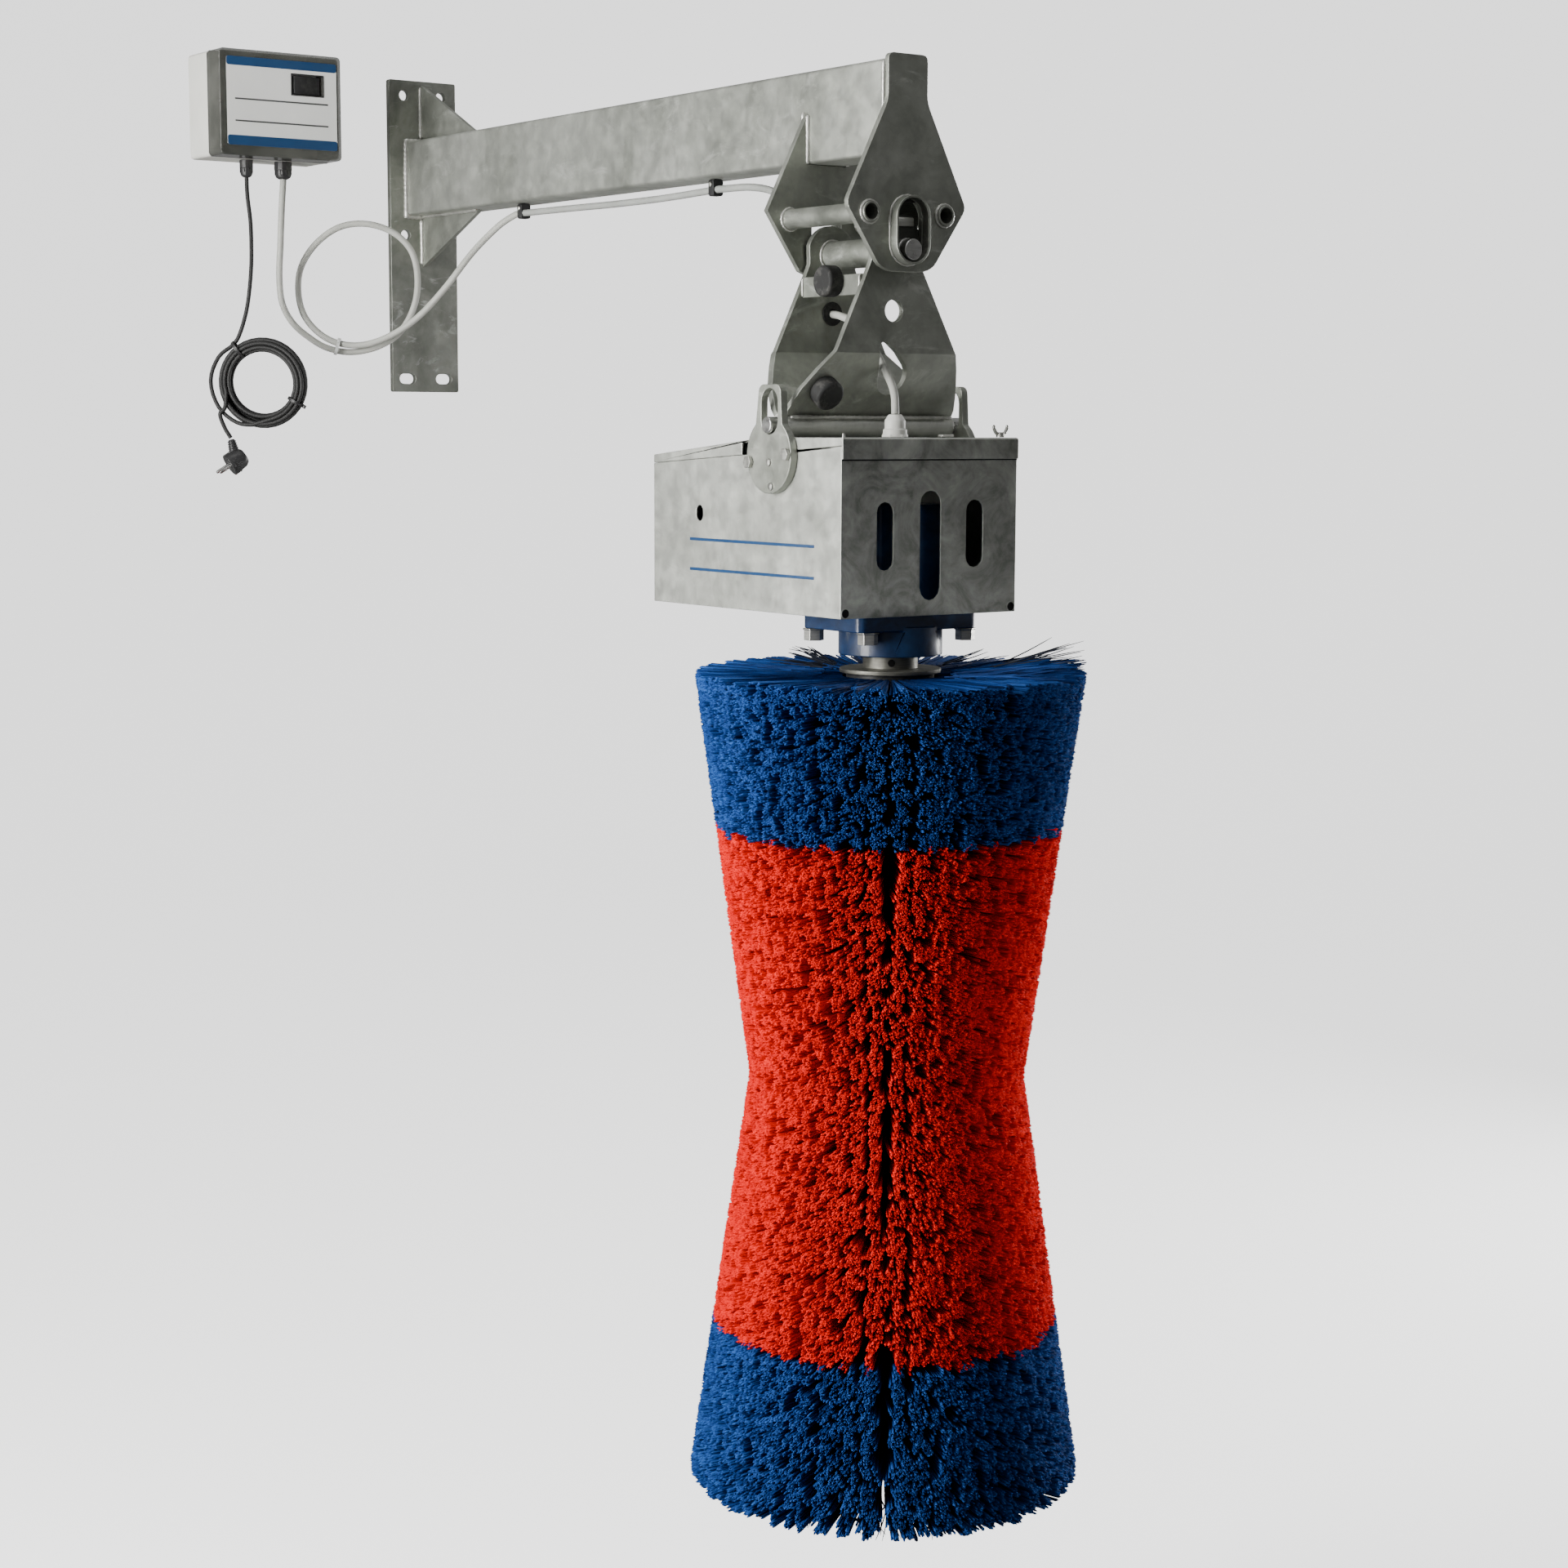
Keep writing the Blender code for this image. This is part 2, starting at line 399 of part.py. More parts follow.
lathe("buffer_lower", RUBBER, [(BUFFER_R, 0), (BUFFER_R, 0.0165), (BUFFER_R - 0.0025, 0.019)], 24, (seat.x, -0.087, seat.y), turn=buffer_turn)
ring("hinge_tube", GALVANISED, SHAFT_R + RUN, HINGE_R, -0.130, 0.130, (HINGE_X, 0, HINGE_Z), "Y", 40)
lathe("cable_grommet", RUBBER, [(0.0056, 1.0785), (0.0150, 1.0785), (0.0150, 1.0797), (0.0130, 1.0797), (0.0130, 1.0883), (0.0150, 1.0883), (0.0150, 1.0897), (0.0056, 1.0897)], 24, (0, 0, GROMMET_Z), "X", closed=True)

# ---- housing ------------------------------------------------------------
def edge(x):
    return EDGE_Z + EDGE_SLOPE * (x - BOX_X0)


shell = prism("housing_shell", GALVANISED, "Y", [(BOX_X0, BOX_LOW), (BOX_X1, BOX_LOW), (BOX_X1, edge(BOX_X1)), (BOX_X0, edge(BOX_X0))], -BOX_Y, BOX_Y)
combine(shell, prism("cut_inside", None, "Y", rectangle(BOX_X0 + BOX_WALL, BOX_X1 - BOX_WALL, BOX_LOW + BOX_WALL, -0.35), -BOX_Y + BOX_WALL, BOX_Y - BOX_WALL, cutter=True))
for k, (y, w, z0, z1) in enumerate(((-0.069, 0.0248, -0.5473, -0.4654), (0, 0.0316, -0.5848, -0.4525), (0.0686, 0.0263, -0.5465, -0.4641))):
    combine(shell, prism(f"cut_vent_{k}", None, "X", upright_slot(y, z0, z1, w / 2, 6), BOX_X1 - 0.01, BOX_X1 + 0.01, cutter=True))
combine(shell, prism("cut_side_hole", None, "Y", upright_slot(0.9904, -0.4958, -0.4758, 0.0075, 6), -0.2, 0.2, cutter=True))
NECK_X0, NECK_X1, NECK_Y = 1.157, 1.2667, 0.060
combine(shell, prism("cut_neck", None, "Z", rectangle(NECK_X0 - 0.001, NECK_X1 + 0.001, -NECK_Y - 0.001, NECK_Y + 0.001), BOX_LOW - 0.01, BOX_LOW + 0.01, cutter=True))
FLANGE_BOLTS = ((1.2596, -0.070), (1.2596, 0.081), (1.164, -0.081), (1.164, 0.070))
EAR_BOLTS = ((1.117, -0.420), (1.195, -0.410))
for k, (x, y) in enumerate(FLANGE_BOLTS):
    combine(shell, bar(f"cut_flange_{k}", None, 0.0060, BOX_LOW - 0.01, BOX_LOW + 0.01, (x, y, 0), "Z", 12, cutter=True))
for k, (x, z) in enumerate(EAR_BOLTS):
    combine(shell, bar(f"cut_ear_{k}", None, 0.0045, -0.2, 0.2, (x, 0, z), "Y", 12, cutter=True))

SHEET = 0.0025
low = 0.0004
lid = prism("housing_lid", GALVANISED, "Y",
            [(BOX_X0, edge(BOX_X0) + low), (BOX_X1 + GAP, edge(BOX_X1) + low), (BOX_X1 + GAP, -0.4148), (BOX_X1 + GAP + SHEET, -0.4148), (BOX_X1 + GAP + SHEET, -0.3912), (BOX_X1, -0.3893), (1.128, -0.3903), (BOX_X0, -0.4134)], -BOX_Y, BOX_Y)
combine(lid, prism("cut_lid_inside", None, "Y", [(BOX_X0 + SHEET, -0.45), (BOX_X1 - SHEET, -0.45), (BOX_X1 - SHEET, -0.3893 - SHEET), (1.128, -0.3903 - SHEET), (BOX_X0 + SHEET, -0.4134 - SHEET)], -BOX_Y + SHEET, BOX_Y - SHEET, cutter=True))
for side in (-1, 1):
    combine(lid, prism(f"cut_skirt_{side}", None, "Y", rectangle(1.085, 1.133, -0.43, -0.3960), side * BOX_Y - 0.006, side * BOX_Y + 0.006, cutter=True))

EAR_X, EAR_Z, EAR_R = 1.1565, -0.4115, 0.0465
neck_z = EAR_Z + math.sqrt(EAR_R ** 2 - 0.0275 ** 2)
lead = math.degrees(math.asin((neck_z - EAR_Z) / EAR_R))
ear_outline = arc(1.1714, -0.3361, 0.0100, 0, 90, 5) + arc(1.1446, -0.3361, 0.0100, 90, 180, 5) + arc(EAR_X, EAR_Z, EAR_R, 180 - lead, 360 + lead, 24)
for side, name in ((-1, "left"), (1, "right")):
    span = sorted((side * EAR_IN, side * EAR_OUT))
    prism("ear_" + name, GALVANISED, "Y", ear_outline, *span, [upright_slot(HINGE_X, -0.3860, -0.331, 0.0170, 14)] + [circle(x, z, 0.0045, 12) for x, z in EAR_BOLTS])
    for k, (x, z) in enumerate(EAR_BOLTS):
        head = [(0.0040, EAR_IN - 0.009), (0.0040, EAR_OUT + GAP), (0.0080, EAR_OUT + GAP), (0.0080, EAR_OUT + 0.0055)]
        lathe(f"ear_bolt_{name}_{k + 1}", STEEL, head, 6, (x, 0, z), "Y", turn=Matrix.Rotation(math.pi, 4, "X") if side < 0 else None)
bar("hinge_shaft", STEEL, SHAFT_R, -0.150, 0.150, (HINGE_X, 0, HINGE_Z), "Y", 40, 0.001)
lathe("roof_gland", GREY, [(0.0148, -0.3890), (0.0148, -0.3800), (0.0128, -0.3790), (0.0128, -0.3690), (0.0080, GLAND.z)], 16, (GLAND.x, GLAND.y, 0))

# ---- gearbox, motor and fan --------------------------------------------
FLANGE_TOP, FLANGE_LOW, BOSS_R, BOSS_LOW = BOX_LOW - GAP, -0.6227, 0.0643, -0.6550
gear = prism("gearbox_body", BLUE_PAINT, "Z", rectangle(1.151, 1.2726, -0.092, 0.092, 0.012), FLANGE_LOW, FLANGE_TOP, [circle(x, y, 0.0060, 12) for x, y in FLANGE_BOLTS])
combine(gear, prism("join_block", None, "Z", rectangle(NECK_X0, NECK_X1, -NECK_Y, NECK_Y, 0.006), FLANGE_LOW + 0.005, -0.470, cutter=True), "UNION")
combine(gear, bar("join_boss", None, BOSS_R, BOSS_LOW, FLANGE_LOW + 0.004, (BRUSH_X, 0, 0), "Z", 32, cutter=True), "UNION")
combine(gear, bar("cut_shaft", None, 0.0150 + RUN, BOSS_LOW - 0.02, -0.500, (BRUSH_X, 0, 0), "Z", 40, cutter=True))
for k, (x, y) in enumerate(FLANGE_BOLTS):
    lathe(f"flange_bolt_{k + 1}", STEEL, [(0.0052, -0.5975), (0.0052, FLANGE_LOW - GAP), (0.0140, FLANGE_LOW - GAP), (0.0140, FLANGE_LOW - 0.0025), (0.0125, FLANGE_LOW - 0.0025), (0.0125, -0.6380)], 6, (x, y, 0))

MOTOR_Z, MOTOR_X0, MOTOR_X1 = -0.530, 0.932, NECK_X0 - GAP
FINS, FIN_R, CAN_R = 16, 0.0665, 0.0600
fins = []
for k in range(FINS):
    mid = 360 / FINS * k
    for da, r in ((-9.0, CAN_R), (-2.2, CAN_R), (-1.6, FIN_R), (1.6, FIN_R), (2.2, CAN_R)):
        a = math.radians(mid + da)
        fins.append((r * math.cos(a), MOTOR_Z + r * math.sin(a)))
motor = prism("motor_body", BLUE_PAINT, "X", fins, MOTOR_X0, MOTOR_X1)
combine(motor, bar("cut_fan_bore", None, 0.0080 + RUN, MOTOR_X0 - 0.02, MOTOR_X0 + 0.040, (0, 0, MOTOR_Z), "X", 24, cutter=True))
blades = []
for k in range(7):
    for da, r in ((-12, 0.016), (-4, 0.052), (4, 0.052), (12, 0.016)):
        a = math.radians(360 / 7 * k + da)
        blades.append((r * math.cos(a), MOTOR_Z + r * math.sin(a)))
fan = prism("motor_fan", BLACK, "X", blades, 0.900, 0.922)
combine(fan, bar("join_fan_shaft", None, 0.0080, 0.905, MOTOR_X0 + 0.036, (0, 0, MOTOR_Z), "X", 24, cutter=True), "UNION")

# ---- brush --------------------------------------------------------------
DISC_LOW = -0.6775
lathe("output_shaft", STEEL, [(0.0150, -0.5015), (0.0150, BOSS_LOW - 0.0005), (0.0340, BOSS_LOW - 0.0005), (0.0340, -0.6720), (0.0630, -0.6720), (0.0630, DISC_LOW)], 40, (BRUSH_X, 0, 0))
core_top = DISC_LOW - GAP
lathe("brush_core", BLACK, [(0, core_top), (CORE_R, core_top), (CORE_R, -1.690), (0.047, -1.690), (0.047, core_top - 0.008), (0, core_top - 0.008)], 30, (BRUSH_X, 0, 0))


def brush_r(z):
    if z >= WAIST:
        return R_WAIST + (R_TOP - R_WAIST) * (z - WAIST) / (BRUSH_TOP - WAIST)
    return R_WAIST + (R_LOW - R_WAIST) * (WAIST - z) / (WAIST - BRUSH_LOW)


def tufts(name, what, levels):
    """Rows of bristles as thin radial blades on a sleeve, straight between the levels."""
    shape = bmesh.new()
    root = math.asin(TUFT_HALF / TUFT_ROOT)
    outer, inner, flat = [], [], None
    for z in levels:
        tip_r = brush_r(z)
        tip = math.asin(TUFT_HALF / tip_r)
        points = []
        for k in range(TUFTS):
            mid = 2 * math.pi * k / TUFTS
            for a, r in ((mid - root, TUFT_ROOT), (mid - tip, tip_r), (mid + tip, tip_r), (mid + root, TUFT_ROOT)):
                points.append((r * math.cos(a), r * math.sin(a)))
        hole = circle(0, 0, CORE_R + GAP, TUFTS)
        outer.append([shape.verts.new((BRUSH_X + x, y, z)) for x, y in points])
        inner.append([shape.verts.new((BRUSH_X + x, y, z)) for x, y in hole])
        flat = [[Vector((x, y, 0)) for x, y in loop] for loop in (points, hole)]
    faces = tessellate_polygon(flat)
    for end in (0, -1):
        corners = outer[end] + inner[end]
        for a, b, c in faces:
            shape.faces.new((corners[a], corners[b], corners[c]))
    for wall in (outer, inner):
        for near, far in zip(wall, wall[1:]):
            for k in range(len(near)):
                j = (k + 1) % len(near)
                shape.faces.new((near[k], near[j], far[j], far[k]))
    bmesh.ops.recalc_face_normals(shape, faces=shape.faces)
    mesh = bpy.data.meshes.new(name)
    shape.to_mesh(mesh)
    shape.free()
    return put(name, mesh, what)


tufts("bristles_top", BLUE, (BRUSH_TOP, BLUE_END))
tufts("bristles_red_upper", RED, (BLUE_END - GAP, WAIST))
tufts("bristles_red_lower", RED, (WAIST - GAP, RED_END))
tufts("bristles_bottom", BLUE, (RED_END - GAP, BRUSH_LOW))

# ---- joint axes: each moving body's pieces hang from an empty on its axis -
AXES = {
    "pin_lift": ((1.1475, 0, PIN_Z), "pivot_pin"),
    "link_swing": ((1.1475, 0, PIN_Z), "link_plate pivot_tube cross_plate buffer hinge_tube cable_grommet motor_cable_lower"),
    "housing_swing": ((HINGE_X, 0, HINGE_Z), "housing ear hinge_shaft gearbox flange_bolt motor_body roof_gland"),
    "brush_spin": ((BRUSH_X, 0, -1.0), "output_shaft brush_core bristles"),
    "fan_spin": ((0.91, 0, MOTOR_Z), "motor_fan"),
    "rocker_tilt": ((SW_AXIS_X, SW_MID, (SW_Z0 + SW_Z1) / 2), "rocker_switch"),
}
bpy.context.view_layer.update()
for joint, (place, starts) in AXES.items():
    axis_at = bpy.data.objects.new("axis_" + joint, None)
    axis_at.empty_display_size = 0.05
    home.objects.link(axis_at)
    axis_at.location = place
    for piece in list(home.objects):
        if piece.type != "EMPTY" and piece.name.startswith(tuple(starts.split())):
            piece.parent = axis_at
            piece.matrix_parent_inverse = Matrix.Translation(place).inverted()
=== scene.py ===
"""Looks for the swinging livestock brush: finishes, cords, bristles, welds and small fittings on the fixed frame. Metres, +Z up, +X away from the wall."""

import math

import bmesh
import bpy
import numpy as np
from mathutils import Matrix, Vector


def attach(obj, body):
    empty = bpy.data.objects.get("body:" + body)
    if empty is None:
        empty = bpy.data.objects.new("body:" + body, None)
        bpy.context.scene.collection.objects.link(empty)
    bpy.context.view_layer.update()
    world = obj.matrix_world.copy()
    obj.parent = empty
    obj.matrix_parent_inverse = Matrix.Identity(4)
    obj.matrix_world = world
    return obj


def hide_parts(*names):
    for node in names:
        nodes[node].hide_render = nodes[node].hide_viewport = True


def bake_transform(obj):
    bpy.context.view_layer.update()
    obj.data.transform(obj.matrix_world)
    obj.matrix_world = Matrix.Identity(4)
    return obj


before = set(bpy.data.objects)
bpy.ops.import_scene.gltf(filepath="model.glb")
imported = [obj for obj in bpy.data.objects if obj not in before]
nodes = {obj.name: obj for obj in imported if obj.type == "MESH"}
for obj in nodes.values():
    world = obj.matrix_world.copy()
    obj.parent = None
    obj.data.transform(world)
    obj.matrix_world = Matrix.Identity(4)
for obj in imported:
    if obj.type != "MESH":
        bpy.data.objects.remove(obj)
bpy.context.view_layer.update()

scene = bpy.context.scene
GAP = 0.0003

# ---- camera -------------------------------------------------------------
YAW, PITCH, ROLL = math.radians(35.49), math.radians(7.55), math.radians(-0.22)
forward = Vector((-math.cos(YAW) * math.cos(PITCH), math.sin(YAW) * math.cos(PITCH), -math.sin(PITCH)))
right = Vector((math.sin(YAW), math.cos(YAW), 0))
down = forward.cross(right)
right, down = right * math.cos(ROLL) + down * math.sin(ROLL), down * math.cos(ROLL) - right * math.sin(ROLL)
lens = bpy.data.cameras.new("camera")
lens.sensor_fit = "HORIZONTAL"
lens.sensor_width = 36.0
lens.lens = 62.19
lens.clip_end = 100.0
camera = bpy.data.objects.new("camera", lens)
scene.collection.objects.link(camera)
turned = Matrix((right, -down, -forward)).transposed().to_4x4()
camera.matrix_world = Matrix.Translation((3.8615, -2.0489, -0.3749)) @ turned
scene.camera = camera


# ---- finishes -----------------------------------------------------------
class Finish:
    """A Principled material with a few procedural layers."""

    def __init__(self, name, colour, rough, metal=0.0, spec=0.5, coat=0.0, alpha=1.0):
        self.mat = bpy.data.materials.new(name)
        self.mat.use_nodes = True
        self.tree = self.mat.node_tree
        self.shader = self.tree.nodes["Principled BSDF"]
        put = self.shader.inputs
        put["Base Color"].default_value = (*colour, 1)
        put["Roughness"].default_value = rough
        put["Metallic"].default_value = metal
        put["Specular IOR Level"].default_value = spec
        put["Coat Weight"].default_value = coat
        put["Alpha"].default_value = alpha
        self.place = self.tree.nodes.new("ShaderNodeTexCoord").outputs["Object"]
        self.bump = None

    def link(self, a, b):
        self.tree.links.new(a, b)

    def stretched(self, scale):
        node = self.tree.nodes.new("ShaderNodeMapping")
        node.inputs["Scale"].default_value = scale
        self.link(self.place, node.inputs["Vector"])
        return node.outputs["Vector"]

    def noise(self, scale, detail=4.0, rough=0.55, where=None, distortion=0.0):
        node = self.tree.nodes.new("ShaderNodeTexNoise")
        node.inputs["Scale"].default_value = scale
        node.inputs["Detail"].default_value = detail
        node.inputs["Roughness"].default_value = rough
        node.inputs["Distortion"].default_value = distortion
        self.link(where or self.place, node.inputs["Vector"])
        return node.outputs["Fac"]

    def cells(self, scale, out="Color"):
        node = self.tree.nodes.new("ShaderNodeTexVoronoi")
        node.inputs["Scale"].default_value = scale
        self.link(self.place, node.inputs["Vector"])
        return node.outputs[out]

    def ramp(self, value, stops):
        node = self.tree.nodes.new("ShaderNodeValToRGB")
        ramp = node.color_ramp
        while len(ramp.elements) < len(stops):
            ramp.elements.new(0.5)
        for element, (at, colour) in zip(ramp.elements, stops):
            element.position = at
            element.color = (*colour, 1) if hasattr(colour, "__len__") else (colour, colour, colour, 1)
        self.link(value, node.inputs["Fac"])
        return node.outputs["Color"]

    def mix(self, factor, a, b, how="MIX"):
        node = self.tree.nodes.new("ShaderNodeMix")
        node.data_type = "RGBA"
        node.blend_type = how
        for slot, value in ((node.inputs[0], factor), (node.inputs[6], a), (node.inputs[7], b)):
            if isinstance(value, bpy.types.NodeSocket):
                self.link(value, slot)
            elif hasattr(value, "__len__"):
                slot.default_value = (*value, 1)
            else:
                slot.default_value = value
        return node.outputs[2]

    def colour(self, socket):
        self.link(socket, self.shader.inputs["Base Color"])
        return self

    def roughness(self, value, low, high):
        node = self.tree.nodes.new("ShaderNodeMapRange")
        node.inputs["To Min"].default_value = low
        node.inputs["To Max"].default_value = high
        node.inputs["From Min"].default_value = 0.3
        node.inputs["From Max"].default_value = 0.7
        self.link(value, node.inputs["Value"])
        self.link(node.outputs["Result"], self.shader.inputs["Roughness"])
        return self

    def bumped(self, value, strength, distance):
        node = self.tree.nodes.new("ShaderNodeBump")
        node.inputs["Strength"].default_value = strength
        node.inputs["Distance"].default_value = distance
        self.link(value, node.inputs["Height"])
        if self.bump:
            self.link(self.bump, node.inputs["Normal"])
        self.bump = node.outputs["Normal"]
        self.link(self.bump, self.shader.inputs["Normal"])
        return self


def galvanised(name, dark=(0.285, 0.298, 0.262), light=(0.56, 0.575, 0.53), metal=0.82, scale=1.0, fleck=0.35, front_shade_level=1.0):
    """Hot-dip zinc: mottled cloud, faint crystal cells, dull stains and a fine orange-peel skin; the last argument,
    when below 1, adds painted shade in patches on faces turned towards +X.
    """
    f = Finish(name, light, 0.45, metal)
    cloud = f.noise(7.0 * scale, 7.0, 0.62, distortion=0.6)
    base = f.ramp(cloud, [(0.28, dark), (0.50, tuple(0.5 * (a + b) for a, b in zip(dark, light))), (0.74, light)])
    cell = f.ramp(f.cells(120.0), [(0.0, 0.86), (1.0, 1.06)])
    base = f.mix(0.55, base, cell, "MULTIPLY")
    stain = f.ramp(f.noise(26.0, 6.0, 0.7, distortion=1.2), [(0.34, 0.72), (0.52, 1.0)])
    base = f.mix(0.38, base, stain, "MULTIPLY")
    runs = f.ramp(f.noise(3.0, 3.0, 0.5, f.stretched((9.0, 9.0, 0.9))), [(0.42, 0.88), (0.6, 1.03)])
    base = f.mix(0.6, base, runs, "MULTIPLY")
    rub = f.ramp(f.noise(11.0, 8.0, 0.74, f.stretched((1.0, 1.0, 2.6)), 0.9), [(0.57, 0.0), (0.68, fleck)])
    base = f.mix(rub, base, (0.80, 0.81, 0.77))
    # painted shade: faces turned towards +X are darkened in patches, as if they lay in shade
    if front_shade_level < 1.0:
        face = f.tree.nodes.new("ShaderNodeSeparateXYZ")
        f.link(f.tree.nodes["Texture Coordinate"].outputs["Normal"], face.inputs["Vector"])
        faces_front = f.ramp(face.outputs["X"], [(0.55, 0.0), (0.90, 1.0)])
        front_shade_patches = f.ramp(f.noise(17.0, 7.0, 0.7, distortion=0.9), [(0.36, front_shade_level * 0.62), (0.50, front_shade_level), (0.68, min(1.0, front_shade_level * 1.45))])
        base = f.mix(faces_front, base, f.mix(1.0, base, front_shade_patches, "MULTIPLY"))
    f.colour(base)
    f.roughness(f.noise(38.0, 5.0, 0.6), 0.36, 0.58)
    f.bumped(f.noise(420.0, 3.0, 0.6), 0.10, 0.0006)
    f.bumped(f.noise(45.0, 4.0, 0.5), 0.16, 0.0012)
    return f.mat


def turned_steel(name, colour=(0.60, 0.60, 0.585), rough=0.26):
    f = Finish(name, colour, rough, 1.0)
    streak = f.noise(60.0, 4.0, 0.6, f.stretched((1.0, 1.0, 14.0)))
    f.colour(f.ramp(streak, [(0.3, tuple(0.72 * c for c in colour)), (0.62, colour)]))
    f.roughness(f.noise(90.0, 5.0, 0.6), rough - 0.07, rough + 0.18)
    f.bumped(streak, 0.08, 0.0004)
    return f.mat


def plastic(name, colour, rough, spec=0.45, mottle=0.12, grain=600.0, dust=0.0):
    f = Finish(name, colour, rough, 0.0, spec)
    dark = tuple(c * (1 - mottle) for c in colour)
    lit = tuple(min(1, c * (1 + mottle)) for c in colour)
    base = f.ramp(f.noise(14.0, 5.0, 0.6), [(0.35, dark), (0.65, lit)])
    if dust:
        base = f.mix(f.ramp(f.noise(70.0, 6.0, 0.75), [(0.5, 0.0), (0.78, dust)]), base, (0.34, 0.33, 0.30))
    f.colour(base)
    f.roughness(f.noise(50.0, 4.0, 0.6), rough - 0.06, rough + 0.10)
    f.bumped(f.noise(grain, 2.0, 0.5), 0.12, 0.0004)
    return f.mat


ZINC = galvanised("zinc_arm")
ZINC_PLATE = galvanised("zinc_plate", (0.225, 0.238, 0.205), (0.455, 0.468, 0.425), 0.84, 1.3)
ZINC_WALL = galvanised("zinc_wall_plate", (0.150, 0.158, 0.136), (0.400, 0.410, 0.370), 0.84, 1.1, 0.55)
# the housing's zinc carries painted shade on its faces turned towards +X
ZINC_BOX = galvanised("zinc_housing", (0.44, 0.452, 0.412), (0.66, 0.675, 0.63), 0.76, 0.9, 0.20, 0.53)
# a lighter copy of the zinc for the hinge tube: painted light standing in for light reflected onto it from the housing
# roof
ZINC_TUBE_LIT = galvanised("zinc_tube_painted_light", (0.55, 0.56, 0.52), (0.78, 0.79, 0.75), 0.70, 1.3, 0.5)
WELD = galvanised("zinc_weld", (0.48, 0.48, 0.45), (0.78, 0.78, 0.74), 0.88, 6.0)
BRIGHT = turned_steel("bright_steel")
BOLT = turned_steel("zinc_bolt", (0.52, 0.52, 0.485), 0.38)
DULL = turned_steel("dull_steel", (0.20, 0.196, 0.172), 0.46)
RUBBER = plastic("rubber_black", (0.016, 0.016, 0.016), 0.62, 0.3, 0.25, 300.0, 0.22)
BLACK = plastic("plastic_black", (0.018, 0.018, 0.019), 0.42, 0.4, 0.2, 500.0, 0.10)
CORD = plastic("cord_black", (0.018, 0.018, 0.018), 0.55, 0.25, 0.15, 300.0, 0.0)
CABLE = plastic("cable_sheath", (0.30, 0.31, 0.295), 0.46, 0.4, 0.14, 500.0, 0.12)
CABLE_PALE = plastic("cable_sheath_pale", (0.36, 0.365, 0.335), 0.46, 0.35, 0.12, 500.0, 0.04)
SHELL = plastic("box_base_grey", (0.62, 0.62, 0.575), 0.46, 0.4, 0.05, 900.0, 0.0)
GLAND_GREY = plastic("gland_grey", (0.64, 0.64, 0.60), 0.42, 0.4, 0.06, 700.0, 0.0)
LABEL = plastic("label_white", (0.76, 0.765, 0.745), 0.34, 0.45, 0.03, 200.0, 0.0)
STRIPE = plastic("stripe_blue", (0.008, 0.044, 0.125), 0.36, 0.45, 0.10, 300.0, 0.0)
LINE = plastic("line_grey", (0.055, 0.056, 0.056), 0.45, 0.4, 0.10, 300.0, 0.0)
HOUSING_PAINT = plastic("sheet_white_paint", (0.70, 0.70, 0.665), 0.38, 0.45, 0.05, 500.0, 0.0)
# near-black for painted shade: the inside of notches and hollows, and the line under the lid's lip
PAINTED_SHADE = plastic("painted_shade_black", (0.006, 0.006, 0.006), 0.8, 0.1, 0.3, 300.0, 0.0)
TIE = plastic("tie_pale", (0.55, 0.56, 0.55), 0.4, 0.4, 0.06, 300.0, 0.0)


def smoked(name):
    """Clear smoked lid: a dark tint that lets the inside show."""
    f = Finish(name, (0.10, 0.10, 0.092), 0.10, 0.0, 0.5, 0.2, 0.74)
    f.colour(f.ramp(f.noise(20.0, 4.0, 0.6), [(0.35, (0.058, 0.060, 0.052)), (0.65, (0.108, 0.110, 0.098))]))
    f.roughness(f.noise(160.0, 4.0, 0.6), 0.06, 0.16)
    f.bumped(f.noise(700.0, 2.0, 0.5), 0.05, 0.0002)
    return f.mat


def cast_paint(name):
    """Blue enamel on a casting: dark and lighter blue in noise patches, with pale chips in spots."""
    f = Finish(name, (0.006, 0.034, 0.105), 0.36, 0.0, 0.5, 0.15)
    base = f.ramp(f.noise(16.0, 6.0, 0.65, distortion=0.8), [(0.30, (0.0016, 0.0065, 0.021)), (0.52, (0.0035, 0.020, 0.068)), (0.75, (0.009, 0.050, 0.140))])
    chips = f.ramp(f.noise(75.0, 8.0, 0.8), [(0.66, 0.0), (0.72, 0.5)])
    f.colour(f.mix(chips, base, (0.10, 0.13, 0.17)))
    f.roughness(f.noise(40.0, 5.0, 0.6), 0.28, 0.5)
    f.bumped(f.noise(95.0, 5.0, 0.7), 0.30, 0.0012)
    return f.mat


SMOKE, PAINT = smoked("smoked_lid"), cast_paint("blue_enamel")
MOTOR_DARK = plastic("motor_black", (0.010, 0.012, 0.018), 0.45, 0.4, 0.3, 200.0, 0.15)
# near-black steel for the plates in the slot: painted shade of the slot's inside
SLOT_SHADE = turned_steel("slot_painted_shade", (0.085, 0.088, 0.080), 0.42)


def bristle_finish(name, stops, rough=0.52):
    """Nylon: each bristle takes its own tone from the mesh, with painted shade making it darker towards the root."""
    f = Finish(name, stops[1], rough, 0.0, 0.06)
    tone = f.tree.nodes.new("ShaderNodeAttribute")
    tone.attribute_name = "tone"
    base = f.ramp(tone.outputs["Fac"], [(0.0, stops[0]), (0.55, stops[1]), (1.0, stops[2])])
    speck = f.ramp(f.noise(260.0, 3.0, 0.6), [(0.3, 0.80), (0.7, 1.10)])
    f.colour(f.mix(0.7, base, speck, "MULTIPLY"))
    f.roughness(f.noise(300.0, 2.0, 0.5), rough - 0.08, rough + 0.12)
    return f.mat


